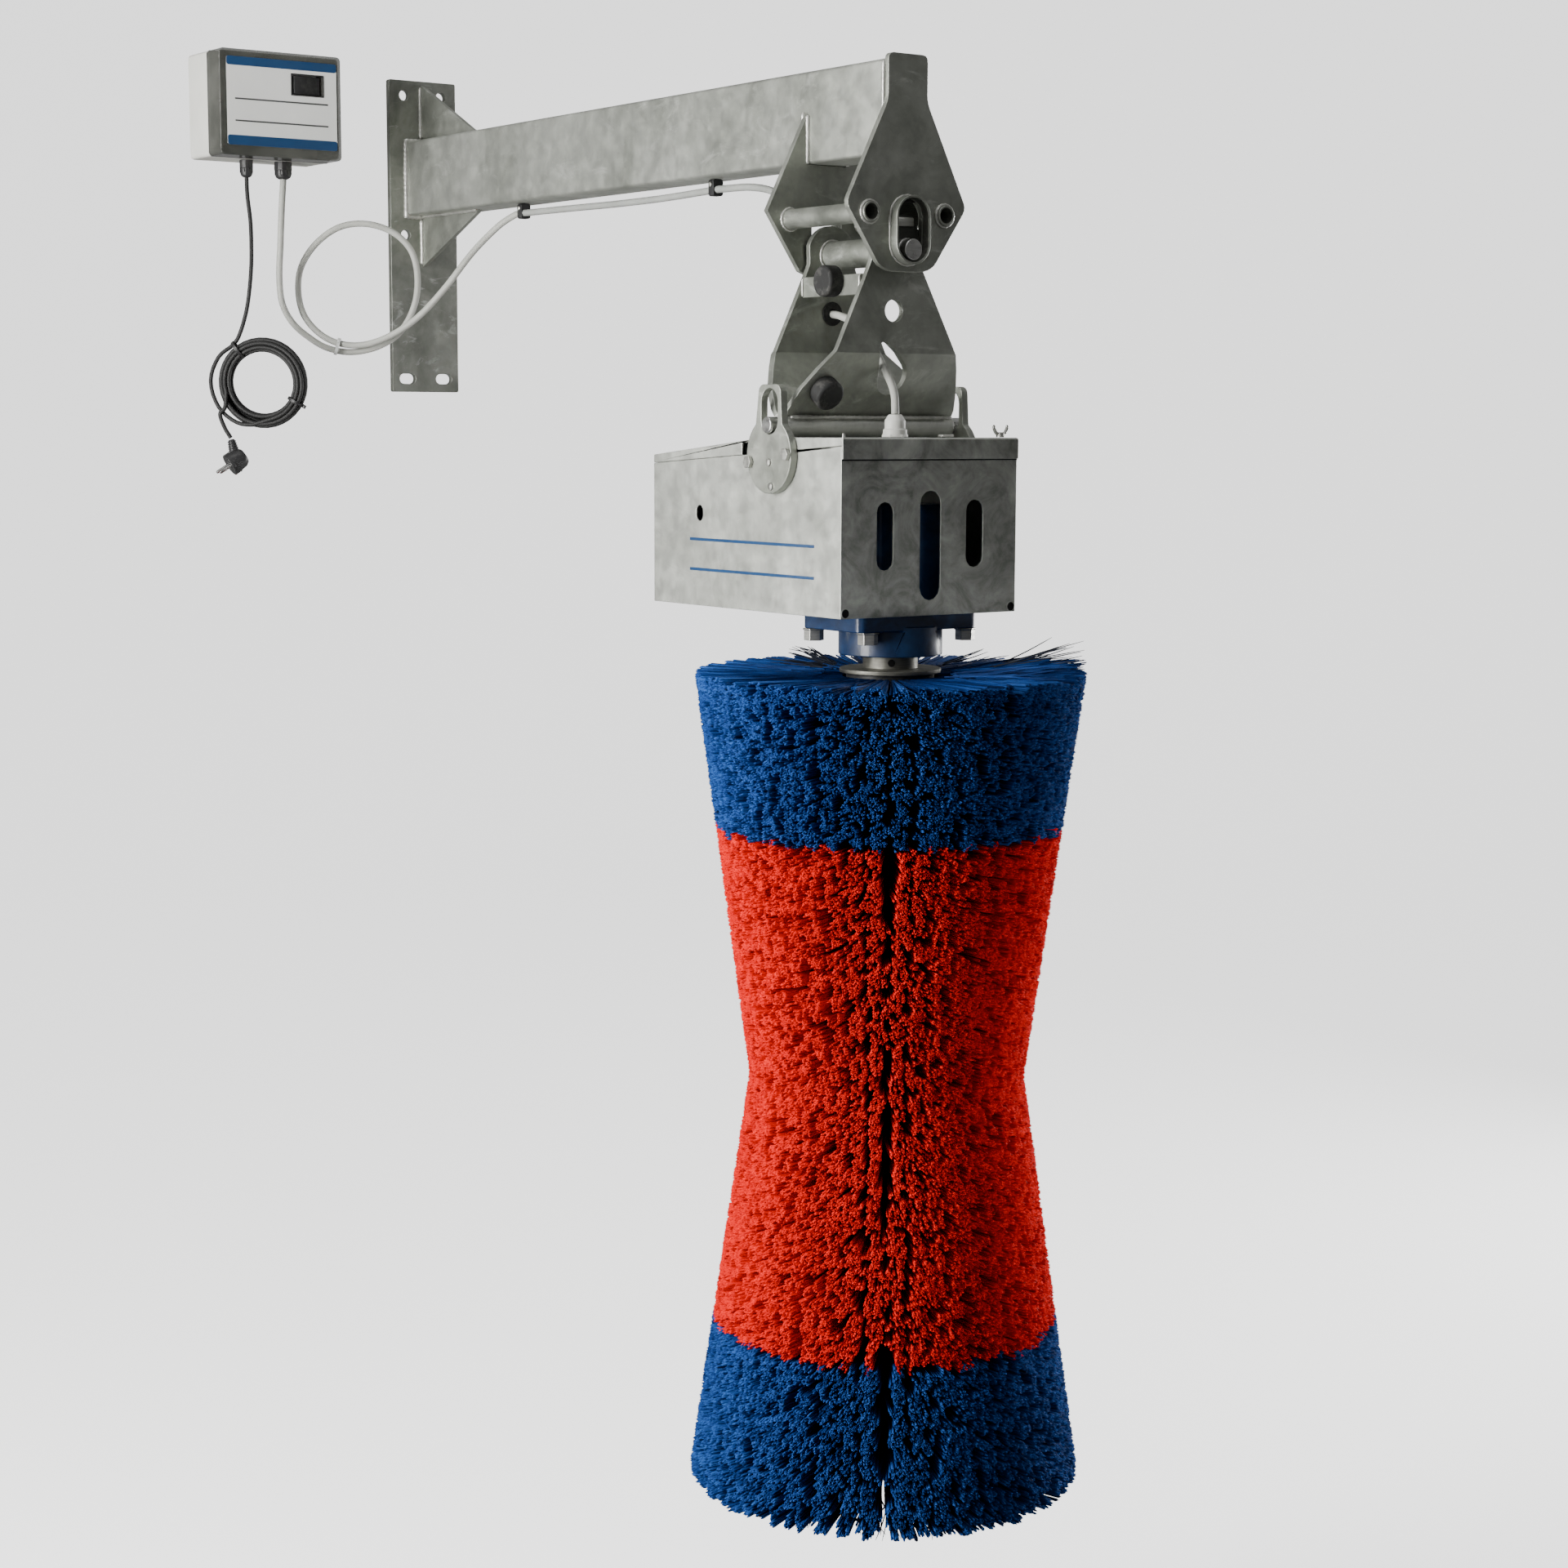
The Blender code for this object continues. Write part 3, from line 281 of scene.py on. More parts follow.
BRISTLE_BLUE = bristle_finish("bristle_blue", ((0.0011, 0.0040, 0.017), (0.0042, 0.027, 0.132), (0.020, 0.084, 0.310)))
BRISTLE_RED = bristle_finish("bristle_red", ((0.042, 0.0006, 0.0008), (0.56, 0.0012, 0.0012), (0.80, 0.005, 0.004)))
# a darkened copy of the blue bristle for the stray bristles: painted shade
BRISTLE_BLUE_SHADE = bristle_finish("bristle_blue_painted_shade", ((0.004, 0.005, 0.008), (0.015, 0.018, 0.028), (0.06, 0.07, 0.09)))


# ---- mesh helpers -------------------------------------------------------
def piece(name, verts, faces, what, body, smooth=35.0):
    mesh = bpy.data.meshes.new(name)
    mesh.from_pydata([tuple(v) for v in verts], [], [tuple(f) for f in faces])
    return dress(name, mesh, what, body, smooth)


def dress(name, mesh, what, body, smooth=35.0):
    shape = bmesh.new()
    shape.from_mesh(mesh)
    bmesh.ops.remove_doubles(shape, verts=shape.verts, dist=1e-6)
    bmesh.ops.recalc_face_normals(shape, faces=shape.faces)
    shape.to_mesh(mesh)
    shape.free()
    mesh.shade_smooth()
    mesh.set_sharp_from_angle(angle=math.radians(smooth))
    made = bpy.data.objects.new(name, mesh)
    scene.collection.objects.link(made)
    mesh.materials.clear()
    mesh.materials.append(what)
    if body:
        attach(made, body)
    return made


def finished(source):
    """The evaluated mesh of an object with modifiers; the object is removed."""
    bpy.context.view_layer.update()
    mesh = bpy.data.meshes.new_from_object(source.evaluated_get(bpy.context.evaluated_depsgraph_get()))
    bpy.data.objects.remove(source, do_unlink=True)
    return mesh


def eased(name, mesh, width, segments=2, angle=28.0):
    """The mesh with its edges rounded."""
    source = bpy.data.objects.new(name, mesh)
    scene.collection.objects.link(source)
    step = source.modifiers.new("edge", "BEVEL")
    step.width = width
    step.segments = segments
    step.limit_method = "ANGLE"
    step.angle_limit = math.radians(angle)
    step.use_clamp_overlap = False
    step.loop_slide = False
    return finished(source)


def refined(node, what, body, width=0.0007, segments=2):
    """A CAD piece with its flat triangles merged and its edges eased, in the same place."""
    mesh = nodes[node].data.copy()
    shape = bmesh.new()
    shape.from_mesh(mesh)
    bmesh.ops.remove_doubles(shape, verts=shape.verts, dist=1e-5)
    bmesh.ops.dissolve_limit(shape, angle_limit=math.radians(0.3), verts=shape.verts, edges=shape.edges)
    shape.to_mesh(mesh)
    shape.free()
    made = dress(node + "_finish", eased(node + "_eased", mesh, width, segments), what, body, 50.0)
    flattened(made.data)
    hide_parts(node)
    return made


def flattened(mesh, limit=50.0):
    """Corner normals weighted by face area, so that a large flat face stays flat up to its eased edges."""
    count = len(mesh.polygons)
    normal = np.empty(count * 3)
    area = np.empty(count)
    mesh.polygons.foreach_get("normal", normal)
    mesh.polygons.foreach_get("area", area)
    normal = normal.reshape(-1, 3)
    around = [[] for _ in range(len(mesh.vertices))]
    for face in mesh.polygons:
        for v in face.vertices:
            around[v].append(face.index)
    near = math.cos(math.radians(limit))
    corner = []
    for face in mesh.polygons:
        mine = normal[face.index]
        for v in face.vertices:
            total = np.zeros(3)
            for other in around[v]:
                if float(mine @ normal[other]) > near:
                    total += normal[other] * area[other]
            size = float(np.linalg.norm(total))
            corner.append(tuple(total / size) if size > 1e-14 else tuple(mine))
    mesh.normals_split_custom_set(corner)


def smooth_path(points, each):
    out = []
    p = [Vector(q) for q in points]
    p = [p[0] * 2 - p[1]] + p + [p[-1] * 2 - p[-2]]
    for k in range(1, len(p) - 2):
        for j in range(each):
            t = j / each
            out.append(0.5 * ((2 * p[k]) + (p[k + 1] - p[k - 1]) * t + (2 * p[k - 1] - 5 * p[k] + 4 * p[k + 1] - p[k + 2]) * t * t + (3 * p[k] - p[k - 1] - 3 * p[k + 1] + p[k + 2]) * t ** 3))
    out.append(p[-2])
    return out


def tube_mesh(points, radius, sides=12, closed=False):
    """Vertices and faces of a tube; radius is a number or one per point."""
    points = [Vector(p) for p in points]
    n = len(points)
    radii = [radius] * n if not hasattr(radius, "__len__") else list(radius)
    verts, faces = [], []
    side = None
    for k, p in enumerate(points):
        a = points[(k - 1) % n] if closed or k else p
        b = points[(k + 1) % n] if closed or k < n - 1 else p
        along = (b - a).normalized()
        if side is None:
            side = along.orthogonal().normalized()
        side = (side - along * side.dot(along)).normalized()
        up = along.cross(side)
        for j in range(sides):
            t = 2 * math.pi * j / sides
            verts.append(p + (side * math.cos(t) + up * math.sin(t)) * radii[k])
    for k in range(n if closed else n - 1):
        a, b = k * sides, ((k + 1) % n) * sides
        for j in range(sides):
            i = (j + 1) % sides
            faces.append((a + j, a + i, b + i, b + j))
    if not closed:
        faces.append(tuple(range(sides))[::-1])
        faces.append(tuple(range((n - 1) * sides, n * sides)))
    return verts, faces


def tube(name, points, radius, what, body, sides=12, closed=False):
    verts, faces = tube_mesh(points, radius, sides, closed)
    return piece(name, verts, faces, what, body, 50.0)


def slab(name, centre, size, what, body, ease=0.0008, turn=None, segments=2):
    """A small block with eased edges."""
    shape = bmesh.new()
    bmesh.ops.create_cube(shape, size=1.0)
    bmesh.ops.scale(shape, vec=size, verts=shape.verts)
    if turn is not None:
        bmesh.ops.transform(shape, matrix=turn, verts=shape.verts)
    bmesh.ops.translate(shape, vec=centre, verts=shape.verts)
    mesh = bpy.data.meshes.new(name)
    shape.to_mesh(mesh)
    shape.free()
    return dress(name, eased(name + "_raw", mesh, ease, segments), what, body, 40.0)


def turned(name, profile, at, axis, what, body, n=32, ease=0.0, slot=None, closed=False):
    """A profile of (radius, height) turned about the axis direction through at."""
    spin = Vector(axis).to_track_quat("Z", "Y").to_matrix().to_4x4()
    place = Matrix.Translation(at) @ spin
    line = list(profile)
    verts, faces = [], []
    for k in range(n):
        t = 2 * math.pi * k / n
        verts += [place @ Vector((r * math.cos(t), r * math.sin(t), h)) for r, h in line]
    m = len(line)
    for k in range(n):
        a, b = k * m, ((k + 1) % n) * m
        for j in range(m - 1 + (1 if closed else 0)):
            i = (j + 1) % m
            faces.append((a + j, b + j, b + i, a + i))
    if not closed:
        faces.append(tuple(k * m for k in range(n)))
        faces.append(tuple(k * m + m - 1 for k in range(n))[::-1])
    mesh = bpy.data.meshes.new(name)
    mesh.from_pydata([tuple(v) for v in verts], [], faces)
    if ease:
        mesh = eased(name + "_raw", mesh, ease)
    return dress(name, mesh, what, body, 35.0)


def bead(name, path, body, r=0.0026, closed=False, seed=0, what=None):
    """A weld bead: a rippled roll of metal laid along a corner."""
    path = [Vector(p) for p in path]
    dense, radii, count = [], [], 0
    legs = list(zip(path, path[1:] + path[:1])) if closed else list(zip(path, path[1:]))
    for a, b in legs:
        steps = max(2, int((b - a).length / 0.0022))
        for k in range(steps):
            dense.append(a.lerp(b, k / steps))
    if not closed:
        dense.append(path[-1])
    for k, p in enumerate(dense):
        wave = 0.5 + 0.5 * math.sin(k * 1.9 + seed)
        slow = math.sin(k * 0.21 + seed * 1.7) * 0.5 + math.sin(k * 0.083 + seed * 0.6) * 0.5
        radii.append(r * (0.84 + 0.20 * wave + 0.13 * slow))
    if not closed:
        radii[0] *= 0.55
        radii[-1] *= 0.55
    return tube(name, dense, radii, what or WELD, body, 8, closed)


def ring_path(centre, r, axis="X", n=28):
    c = Vector(centre)
    out = []
    for k in range(n):
        t = 2 * math.pi * k / n
        u, v = r * math.cos(t), r * math.sin(t)
        out.append(c + (Vector((0, u, v)) if axis == "X" else Vector((u, 0, v)) if axis == "Y" else Vector((u, v, 0))))
    return out


# ---- cords --------------------------------------------------------------
CABLE_R, CORD_R = 0.0048, 0.0031
GLAND_X, MAINS_Y, MOTOR_Y, CLIP_Z = 0.050, -0.3166, -0.2573, -0.0668
COIL = Vector((0.055, -0.299, -0.315))
COIL_R, LEAN = 0.0565, math.radians(37)
across = Vector((math.sin(LEAN), math.cos(LEAN), 0))
facing = Vector((math.cos(LEAN), -math.sin(LEAN), 0))


def on_coil(degrees, r, out=0.0):
    t = math.radians(degrees)
    return COIL + across * (r * math.cos(t)) + Vector((0, 0, 1)) * (r * math.sin(t)) + facing * out


MINOR = 0.0081
START, TURNS = 285.0, 7.77
lead = smooth_path([(GLAND_X, MAINS_Y, -0.0135), (0.0515, -0.3165, -0.040), (0.054, -0.3138, -0.075), (0.0545, -0.3132, -0.110), (0.053, -0.3140, -0.150), (0.048, -0.3185, -0.200), (0.0395, -0.3262, -0.238),
                    on_coil(127, 0.0715, 0.001), on_coil(150, 0.0760, 0.003), on_coil(178, 0.0785, 0.004), on_coil(208, 0.0765, 0.004), on_coil(236, 0.0715, 0.0055), on_coil(262, 0.0640, 0.0075)], 4)[:-1]
winding = []
for k in range(int(TURNS * 36) + 1):
    turn = k / 36
    phase = math.radians(100 + 45 * turn)
    wobble = 0.0005 * math.sin(turn * 2 * math.pi * 2 + 1.0)
    winding.append(on_coil(START + 360 * turn, COIL_R + wobble + MINOR * math.cos(phase), MINOR * math.sin(phase)))
end_at = START + 360 * TURNS
tail = smooth_path([winding[-1], on_coil(end_at + 11, 0.0675, 0.0095), Vector((0.0195, -0.3525, -0.362)) + facing * 0.0062, (0.0262, -0.3500, -0.382), (0.0300, -0.3420, -0.3975)], 5)[1:]
mains_line = lead + winding + tail


mains = tube("mains_lead", mains_line, CORD_R, CORD, "arm", 12)
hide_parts("mains_cord", "mains_coil", "mains_tail")

drop = [(GLAND_X, MOTOR_Y, -0.0135), (0.054, -0.263, -0.062), (0.050, -0.264, -0.110), (0.044, -0.264, -0.158), (0.038, -0.257, -0.196), (0.036, -0.240, -0.224)]
outer_turn = [(0.040, -0.216, -0.245), (0.048, -0.189, -0.261), (0.062, -0.156, -0.267), (0.080, -0.121, -0.259), (0.097, -0.092, -0.238), (0.110, -0.074, -0.202),
              (0.115, -0.068, -0.160), (0.110, -0.074, -0.117), (0.097, -0.097, -0.088), (0.078, -0.133, -0.0745), (0.057, -0.169, -0.0795), (0.038, -0.199, -0.104)]
inner_turn = [(0.026, -0.2185, -0.138), (0.023, -0.2235, -0.174), (0.028, -0.2175, -0.211), (0.040, -0.198, -0.239), (0.058, -0.174, -0.254), (0.080, -0.144, -0.256), (0.106, -0.111, -0.242)]
rise = [(0.138, -0.080, -0.214), (0.175, -0.053, -0.171), (0.225, -0.034, -0.121), (0.275, -0.0185, -0.0850), (0.302, -0.0055, -0.0692), (0.3165, -0.0032, -0.0671)]
loop_line = smooth_path(drop + outer_turn + inner_turn + rise, 6)
loop = tube("motor_lead_loop", loop_line, CABLE_R, CABLE_PALE, "arm", 16)
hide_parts("motor_cable_loop")

along = [(0.3180, -0.003, CLIP_Z), (0.360, -0.004, -0.0675), (0.465, -0.004, -0.0685), (0.580, -0.004, -0.0700), (0.700, -0.004, -0.0700), (0.800, -0.0035, -0.0678), (0.830, -0.003, CLIP_Z), (0.860, -0.003, -0.0672), (0.915, -0.004, -0.0692), (0.965, -0.004, -0.078)]
behind = [(1.005, -0.003, -0.098), (1.027, -0.001, -0.130), (1.034, 0, -0.165)]
arm_line = smooth_path(along + behind, 6)
arm_lead = tube("motor_lead_arm", arm_line, CABLE_R, CABLE, None, 16)
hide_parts("motor_cable_arm")
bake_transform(arm_lead)
GROMMET_Z = -0.2365
drop_line = smooth_path([(1.0341, 0, -0.1655), (1.037, 0, -0.195), (1.046, 0, -0.220), (1.062, 0, -0.2335), (1.0782, 0, GROMMET_Z)], 8)
drop_lead = tube("motor_lead_drop", drop_line, CABLE_R, CABLE, None, 16)
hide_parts("motor_cable_drop")
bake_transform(drop_lead)
GLAND = Vector((1.250, -0.024, -0.3618))
lower_line = smooth_path([(1.0785, 0, GROMMET_Z), (1.105, 0, -0.2395), (1.143, -0.0005, -0.2525), (1.177, -0.0015, -0.2805), (1.203, -0.0055, -0.3065), (1.228, -0.0130, -0.3250), (1.2440, -0.0205, -0.3400), (1.2492, -0.0235, -0.3525), (GLAND.x, GLAND.y, GLAND.z + 0.0006)], 8)
lower_lead = tube("motor_lead_lower", lower_line, CABLE_R, CABLE_PALE, None, 16)
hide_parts("motor_cable_lower")
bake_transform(lower_lead)


def tie(name, at, along_line, r, width, what, body):
    """A cable tie: a flat band round the line, with its square head."""
    along_line = Vector(along_line).normalized()
    verts, faces = [], []
    side = along_line.orthogonal().normalized()
    up = along_line.cross(side)
    n = 24
    for k in range(n):
        t = 2 * math.pi * k / n
        out = side * math.cos(t) + up * math.sin(t)
        for rr, w in ((r, -0.5), (r + 0.0010, -0.5), (r + 0.0010, 0.5), (r, 0.5)):
            verts.append(Vector(at) + out * rr + along_line * (w * width))
    for k in range(n):
        a, b = 4 * k, 4 * ((k + 1) % n)
        for j in range(4):
            i = (j + 1) % 4
            faces.append((a + j, b + j, b + i, a + i))
    band = piece(name, verts, faces, what, body)
    frame_turn = Matrix((side, up, along_line)).transposed().to_4x4()
    slab(name + "_head", Vector(at) + side * (r + 0.0022), (0.0042, 0.0052, width * 1.25), what, body, 0.0006, frame_turn)
    return band


tie("coil_tie_top", on_coil(127, 0.0610), on_coil(130, 0.06) - on_coil(124, 0.06), 0.0140, 0.0042, BLACK, "arm")
tie("coil_tie_low", on_coil(330, COIL_R), on_coil(333, 0.06) - on_coil(327, 0.06), 0.0125, 0.0042, BLACK, "arm")
tie("loop_tie", (0.0545, -0.1755, -0.2590), (0.4, 0.9, -0.28), 0.0117, 0.0045, TIE, "arm")

# strain relief rings and face of the plug
tail_end = Vector((0.0300, -0.3420, -0.3975))
PLUG = Vector((0.0345, -0.336, -0.4315))
PLUG_LEAN = Vector((-0.10, -0.62, -0.40)).normalized()
to_plug = (PLUG - tail_end).normalized()
for k in range(5):
    tube(f"plug_relief_ring_{k + 1}", [tail_end + to_plug * (0.0055 + 0.0034 * k) + p for p in [(to_plug.orthogonal().normalized() * math.cos(a) + to_plug.cross(to_plug.orthogonal().normalized()) * math.sin(a)) * (0.0056 + 0.00045 * k) for a in [2 * math.pi * j / 20 for j in range(20)]]], 0.0009, BLACK, "arm", 8, True)
plug_finish = refined("mains_plug", BLACK, "arm", 0.0010, 3)
for k, off in enumerate((-0.0095, 0.0095)):
    side_dir = PLUG_LEAN.cross(Vector((0, 0, 1))).normalized()
    turned(f"plug_pin_{k + 1}", [(0.0001, 0.0128), (0.00255, 0.0128), (0.00255, 0.0308), (0.0018, 0.0332), (0.0001, 0.0334)], PLUG + side_dir * off, PLUG_LEAN, BRIGHT, "arm", 16, slot="bright_steel")
plug_up = PLUG_LEAN.cross(PLUG_LEAN.cross(Vector((0, 0, 1)))).normalized()
for k, s in enumerate((-1, 1)):
    turn_face = Matrix((PLUG_LEAN.cross(plug_up), plug_up, PLUG_LEAN)).transposed().to_4x4()
    slab(f"plug_earth_{k + 1}", PLUG + plug_up * (s * 0.0164) + PLUG_LEAN * 0.0065, (0.0050, 0.0016, 0.0120), BRIGHT, "arm", 0.0004, turn_face)

# ---- CAD pieces with eased edges and their finish -----------------------
for name in ("wall_plate", "gusset_top", "gusset_bottom", "head_plate_front", "head_plate_rear", "slot_guide_front", "slot_guide_rear", "stop_tube_left", "stop_tube_right"):
    refined(name, ZINC_WALL if name == "wall_plate" else ZINC_PLATE, "arm", 0.0009)
refined("arm_tube", ZINC, "arm", 0.0006)
for name in ("link_plate_front", "link_plate_rear", "cross_plate_left", "cross_plate_right"):
    refined(name, ZINC_PLATE, "link", 0.0009)
# the hinge tube takes the lighter zinc, which is painted light
for name in ("pivot_tube", "hinge_tube"):
    refined(name, ZINC_TUBE_LIT if name == "hinge_tube" else ZINC_PLATE, "link", 0.0007)
for name in ("buffer_upper_left", "buffer_upper_right", "buffer_lower"):
    refined(name, RUBBER, "link", 0.0012, 3)
refined("cable_grommet", RUBBER, "link", 0.0004)
refined("pivot_pin", BRIGHT, "pin", 0.0006)
refined("housing_shell", ZINC_BOX, "housing", 0.0008)
refined("housing_lid", ZINC_BOX, "housing", 0.0008)
for name in ("ear_left", "ear_right"):
    refined(name, ZINC_PLATE, "housing", 0.0010)
refined("hinge_shaft", BRIGHT, "housing", 0.0005)
refined("gearbox_body", PAINT, "housing", 0.0016, 3)
refined("motor_body", MOTOR_DARK, "housing", 0.0006)
refined("motor_fan", BLACK, "fan", 0.0005)
refined("roof_gland", GLAND_GREY, "housing", 0.0007)
for name in ("flange_bolt_1", "flange_bolt_2", "flange_bolt_3", "flange_bolt_4", "ear_bolt_left_1", "ear_bolt_left_2", "ear_bolt_right_1", "ear_bolt_right_2"):
    refined(name, BOLT, "housing", 0.0007)
refined("output_shaft", DULL, "brush", 0.0009)
refined("brush_core", BLACK, "brush", 0.0008)
refined("control_box_base", SHELL, "arm", 0.0008)
refined("control_box_lid", SMOKE, "arm", 0.0012, 3)
for name in ("gland_mains", "gland_motor"):
    refined(name, BLACK, "arm", 0.0006)
for name in ("cable_clip_1", "cable_clip_2"):
    refined(name, BLACK, "arm", 0.0007)
refined("rocker_switch", BLACK, "rocker", 0.0009)
for name, obj in nodes.items():
    if not obj.hide_render and not obj.data.materials:
        obj.data.materials.append(ZINC)

# ---- welds --------------------------------------------------------------
AT, AL, AY = 0.0597, -0.0530, 0.0300
x = 0.0112
bead("weld_arm_wall", [(x, -AY - 0.001, AL - 0.001), (x, -AY - 0.001, AT + 0.001), (x, AY + 0.001, AT + 0.001), (x, AY + 0.001, AL - 0.001)], "arm", 0.0042, True, 1)
for k, s in enumerate((-1, 1)):
    bead(f"weld_gusset_top_wall_{k}", [(x, s * 0.0045, 0.066), (x, s * 0.0045, 0.143)], "arm", 0.0034, False, 2 + k)
    bead(f"weld_gusset_low_wall_{k}", [(x, s * 0.0045, -0.059), (x, s * 0.0045, -0.127)], "arm", 0.0034, False, 4 + k)
    bead(f"weld_gusset_top_arm_{k}", [(0.016, s * 0.0045, AT + 0.001), (0.181, s * 0.0045, AT + 0.001)], "arm", 0.0028, False, 6 + k)
    bead(f"weld_gusset_low_arm_{k}", [(0.016, s * 0.0045, AL - 0.001), (0.185, s * 0.0045, AL - 0.001)], "arm", 0.0028, False, 8 + k)
    bead(f"weld_rear_head_back_{k}", [(1.0672, s * (AY + 0.0008), 0.010), (1.0672, s * (AY + 0.0008), AL)], "arm", 0.0036, False, 10 + k)
    bead(f"weld_rear_head_front_{k}", [(1.0768, s * (AY + 0.0008), 0.006), (1.0768, s * (AY + 0.0008), AL)], "arm", 0.0030, False, 12 + k)
    bead(f"weld_front_head_{k}", [(1.2302, s * (AY + 0.0004), 0.056), (1.2302, s * (AY + 0.0006), 0.008), (1.2302, s * (AY + 0.0008), AL + 0.002)], "arm", 0.0028, False, 14 + k)
    for j, px in enumerate((1.0672, 1.0768, 1.2302, 1.2398)):
        bead(f"weld_stop_{k}_{j}", ring_path((px, s * 0.057, -0.122), 0.0132), "arm", 0.0021, True, 16 + k + j)
bead("weld_rear_head_under", [(1.0672, -AY, AL - 0.001), (1.0672, AY, AL - 0.001)], "arm", 0.0032, False, 21)
bead("weld_front_head_under", [(1.2302, -AY, AL - 0.001), (1.2302, AY, AL - 0.001)], "arm", 0.0030, False, 22)


def slot_path(cx, low_z, high_z, r, n=10):
    top = [Vector((cx, r * math.cos(math.pi * k / n), high_z - r + r * math.sin(math.pi * k / n))) for k in range(n + 1)]
    low = [Vector((cx, -r * math.cos(math.pi * k / n), low_z + r - r * math.sin(math.pi * k / n))) for k in range(n + 1)]
    return top + low


bead("weld_guide_front", slot_path(1.2397, -0.1835, -0.1000, 0.0266), "arm", 0.0016, True, 23)
bead("weld_guide_rear", slot_path(1.0673, -0.1835, -0.1000, 0.0266), "arm", 0.0016, True, 24)
slab("slot_pad_front", (1.2340, 0, -0.1063), (0.0070, 0.0300, 0.0040), RUBBER, "arm", 0.0010)
for k, px in enumerate((1.0887, 1.2063)):
    bead(f"weld_pivot_{k}", ring_path((px, 0, -0.165), 0.0184), "link", 0.0022, True, 25 + k)
for k, s in enumerate((-1, 1)):
    for j, px in enumerate((1.0889, 1.2061)):
        bead(f"weld_cross_{k}_{j}", [(px, s * 0.0465, -0.195), (px, s * 0.0465, -0.216)], "link", 0.0020, False, 28 + k + j)
bead("weld_hinge_front", [(1.1745, -0.124, -0.3655), (1.1745, 0.124, -0.3655)], "link", 0.0026, False, 33)
bead("weld_hinge_rear", [(1.1415, -0.124, -0.3655), (1.1415, 0.124, -0.3655)], "link", 0.0026, False, 34)

# ---- cable clips: screw heads above each loop ---------------------------
for k, cx in enumerate((0.325, 0.830)):
    turned(f"clip_screw_{k + 1}", [(0.0001, 0.0), (0.0034, 0.0), (0.0034, 0.0012), (0.0022, 0.0024), (0.0001, 0.0026)], (cx, -0.0101, -0.0600), (0, -1, 0), BOLT, "arm", 16, slot="bright_steel")

# ---- control box --------------------------------------------------------
BX0, BX1, BZ0, BZ1, BASE, LID = -0.383, -0.190, 0.0125, 0.164, 0.0675, 0.111


def plate(name, y0, y1, z0, z1, x0, x1, what, body, r=0.003, hole=None):
    """A thin flat sheet facing +X with round corners, and a rectangular window if wanted."""
    flat = bpy.data.curves.new(name, "CURVE")
    flat.dimensions = "2D"
    flat.fill_mode = "BOTH"
    flat.extrude = (x1 - x0) / 2
    loops = [[]]
    for cy, cz, first in ((y1 - r, z0 + r, -90), (y1 - r, z1 - r, 0), (y0 + r, z1 - r, 90), (y0 + r, z0 + r, 180)):
        loops[0] += [(cy + r * math.cos(math.radians(first + 90 * k / 4)), cz + r * math.sin(math.radians(first + 90 * k / 4))) for k in range(5)]
    if hole:
        loops.append([(hole[0], hole[2]), (hole[1], hole[2]), (hole[1], hole[3]), (hole[0], hole[3])])
    for loop_points in loops:
        line = flat.splines.new("POLY")
        line.points.add(len(loop_points) - 1)
        for spot, (u, v) in zip(line.points, loop_points):
            spot.co = (u, v, 0, 1)
        line.use_cyclic_u = True
    source = bpy.data.objects.new(name + "_outline", flat)
    scene.collection.objects.link(source)
    mesh = finished(source)
    mesh.transform(Matrix.Translation(((x0 + x1) / 2, 0, 0)) @ Matrix(((0, 0, 1, 0), (1, 0, 0, 0), (0, 1, 0, 0), (0, 0, 0, 1))))
    return dress(name, mesh, what, body, 35.0)


# plates inside the slot around the pin; their near-black colour is painted shade of the slot's inside
plate("slot_cover_front", -0.030, 0.030, -0.1345, -0.0990, 1.2220, 1.2245, SLOT_SHADE, "arm", 0.003)
plate("pin_washer_front", -0.028, 0.028, -0.1880, -0.1385, 1.2255, 1.2283, SLOT_SHADE, "pin", 0.004)
plate("pin_slider_front", -0.0205, 0.0205, -0.1775, -0.1225, 1.2312, 1.2340, SLOT_SHADE, "pin", 0.0195)
# painted highlight: a bright steel cap stands in for the highlight on the top of the dark block
slab("pin_slider_cap", (1.2360, 0, -0.1315), (0.0040, 0.0240, 0.0110), BOLT, "pin", 0.0016)
F = LID + 0.0002
SW = (-0.2693, -0.2198, 0.1049, 0.1336)
plate("box_label", -0.3725, -0.1975, 0.0270, 0.1530, F, F + 0.0004, LABEL, "arm", 0.0035, (SW[0] - 0.0016, SW[1] + 0.0016, SW[2] - 0.0016, SW[3] + 0.0016))
plate("label_stripe_top", -0.3725, -0.1975, 0.1405, 0.1530, F + 0.0004, F + 0.0007, STRIPE, "arm", 0.0035)
plate("label_stripe_low", -0.3725, -0.1975, 0.0270, 0.0410, F + 0.0004, F + 0.0007, STRIPE, "arm", 0.0035)
plate("label_line_top", -0.3600, -0.2115, 0.0921, 0.0944, F + 0.0004, F + 0.0006, LINE, "arm", 0.0004)
plate("label_line_low", -0.3600, -0.2115, 0.0607, 0.0630, F + 0.0004, F + 0.0006, LINE, "arm", 0.0004)
plate("switch_bezel", SW[0] - 0.0014, SW[1] + 0.0014, SW[2] - 0.0014, SW[3] + 0.0014, F, F + 0.0010, BLACK, "arm", 0.0008, (SW[0] + 0.0002, SW[1] - 0.0002, SW[2] + 0.0002, SW[3] - 0.0002))
plate("box_inner_panel", BX0 + 0.012, BX1 - 0.012, BZ0 + 0.010, BZ1 - 0.010, 0.052, 0.0535, LABEL, "arm", 0.003)
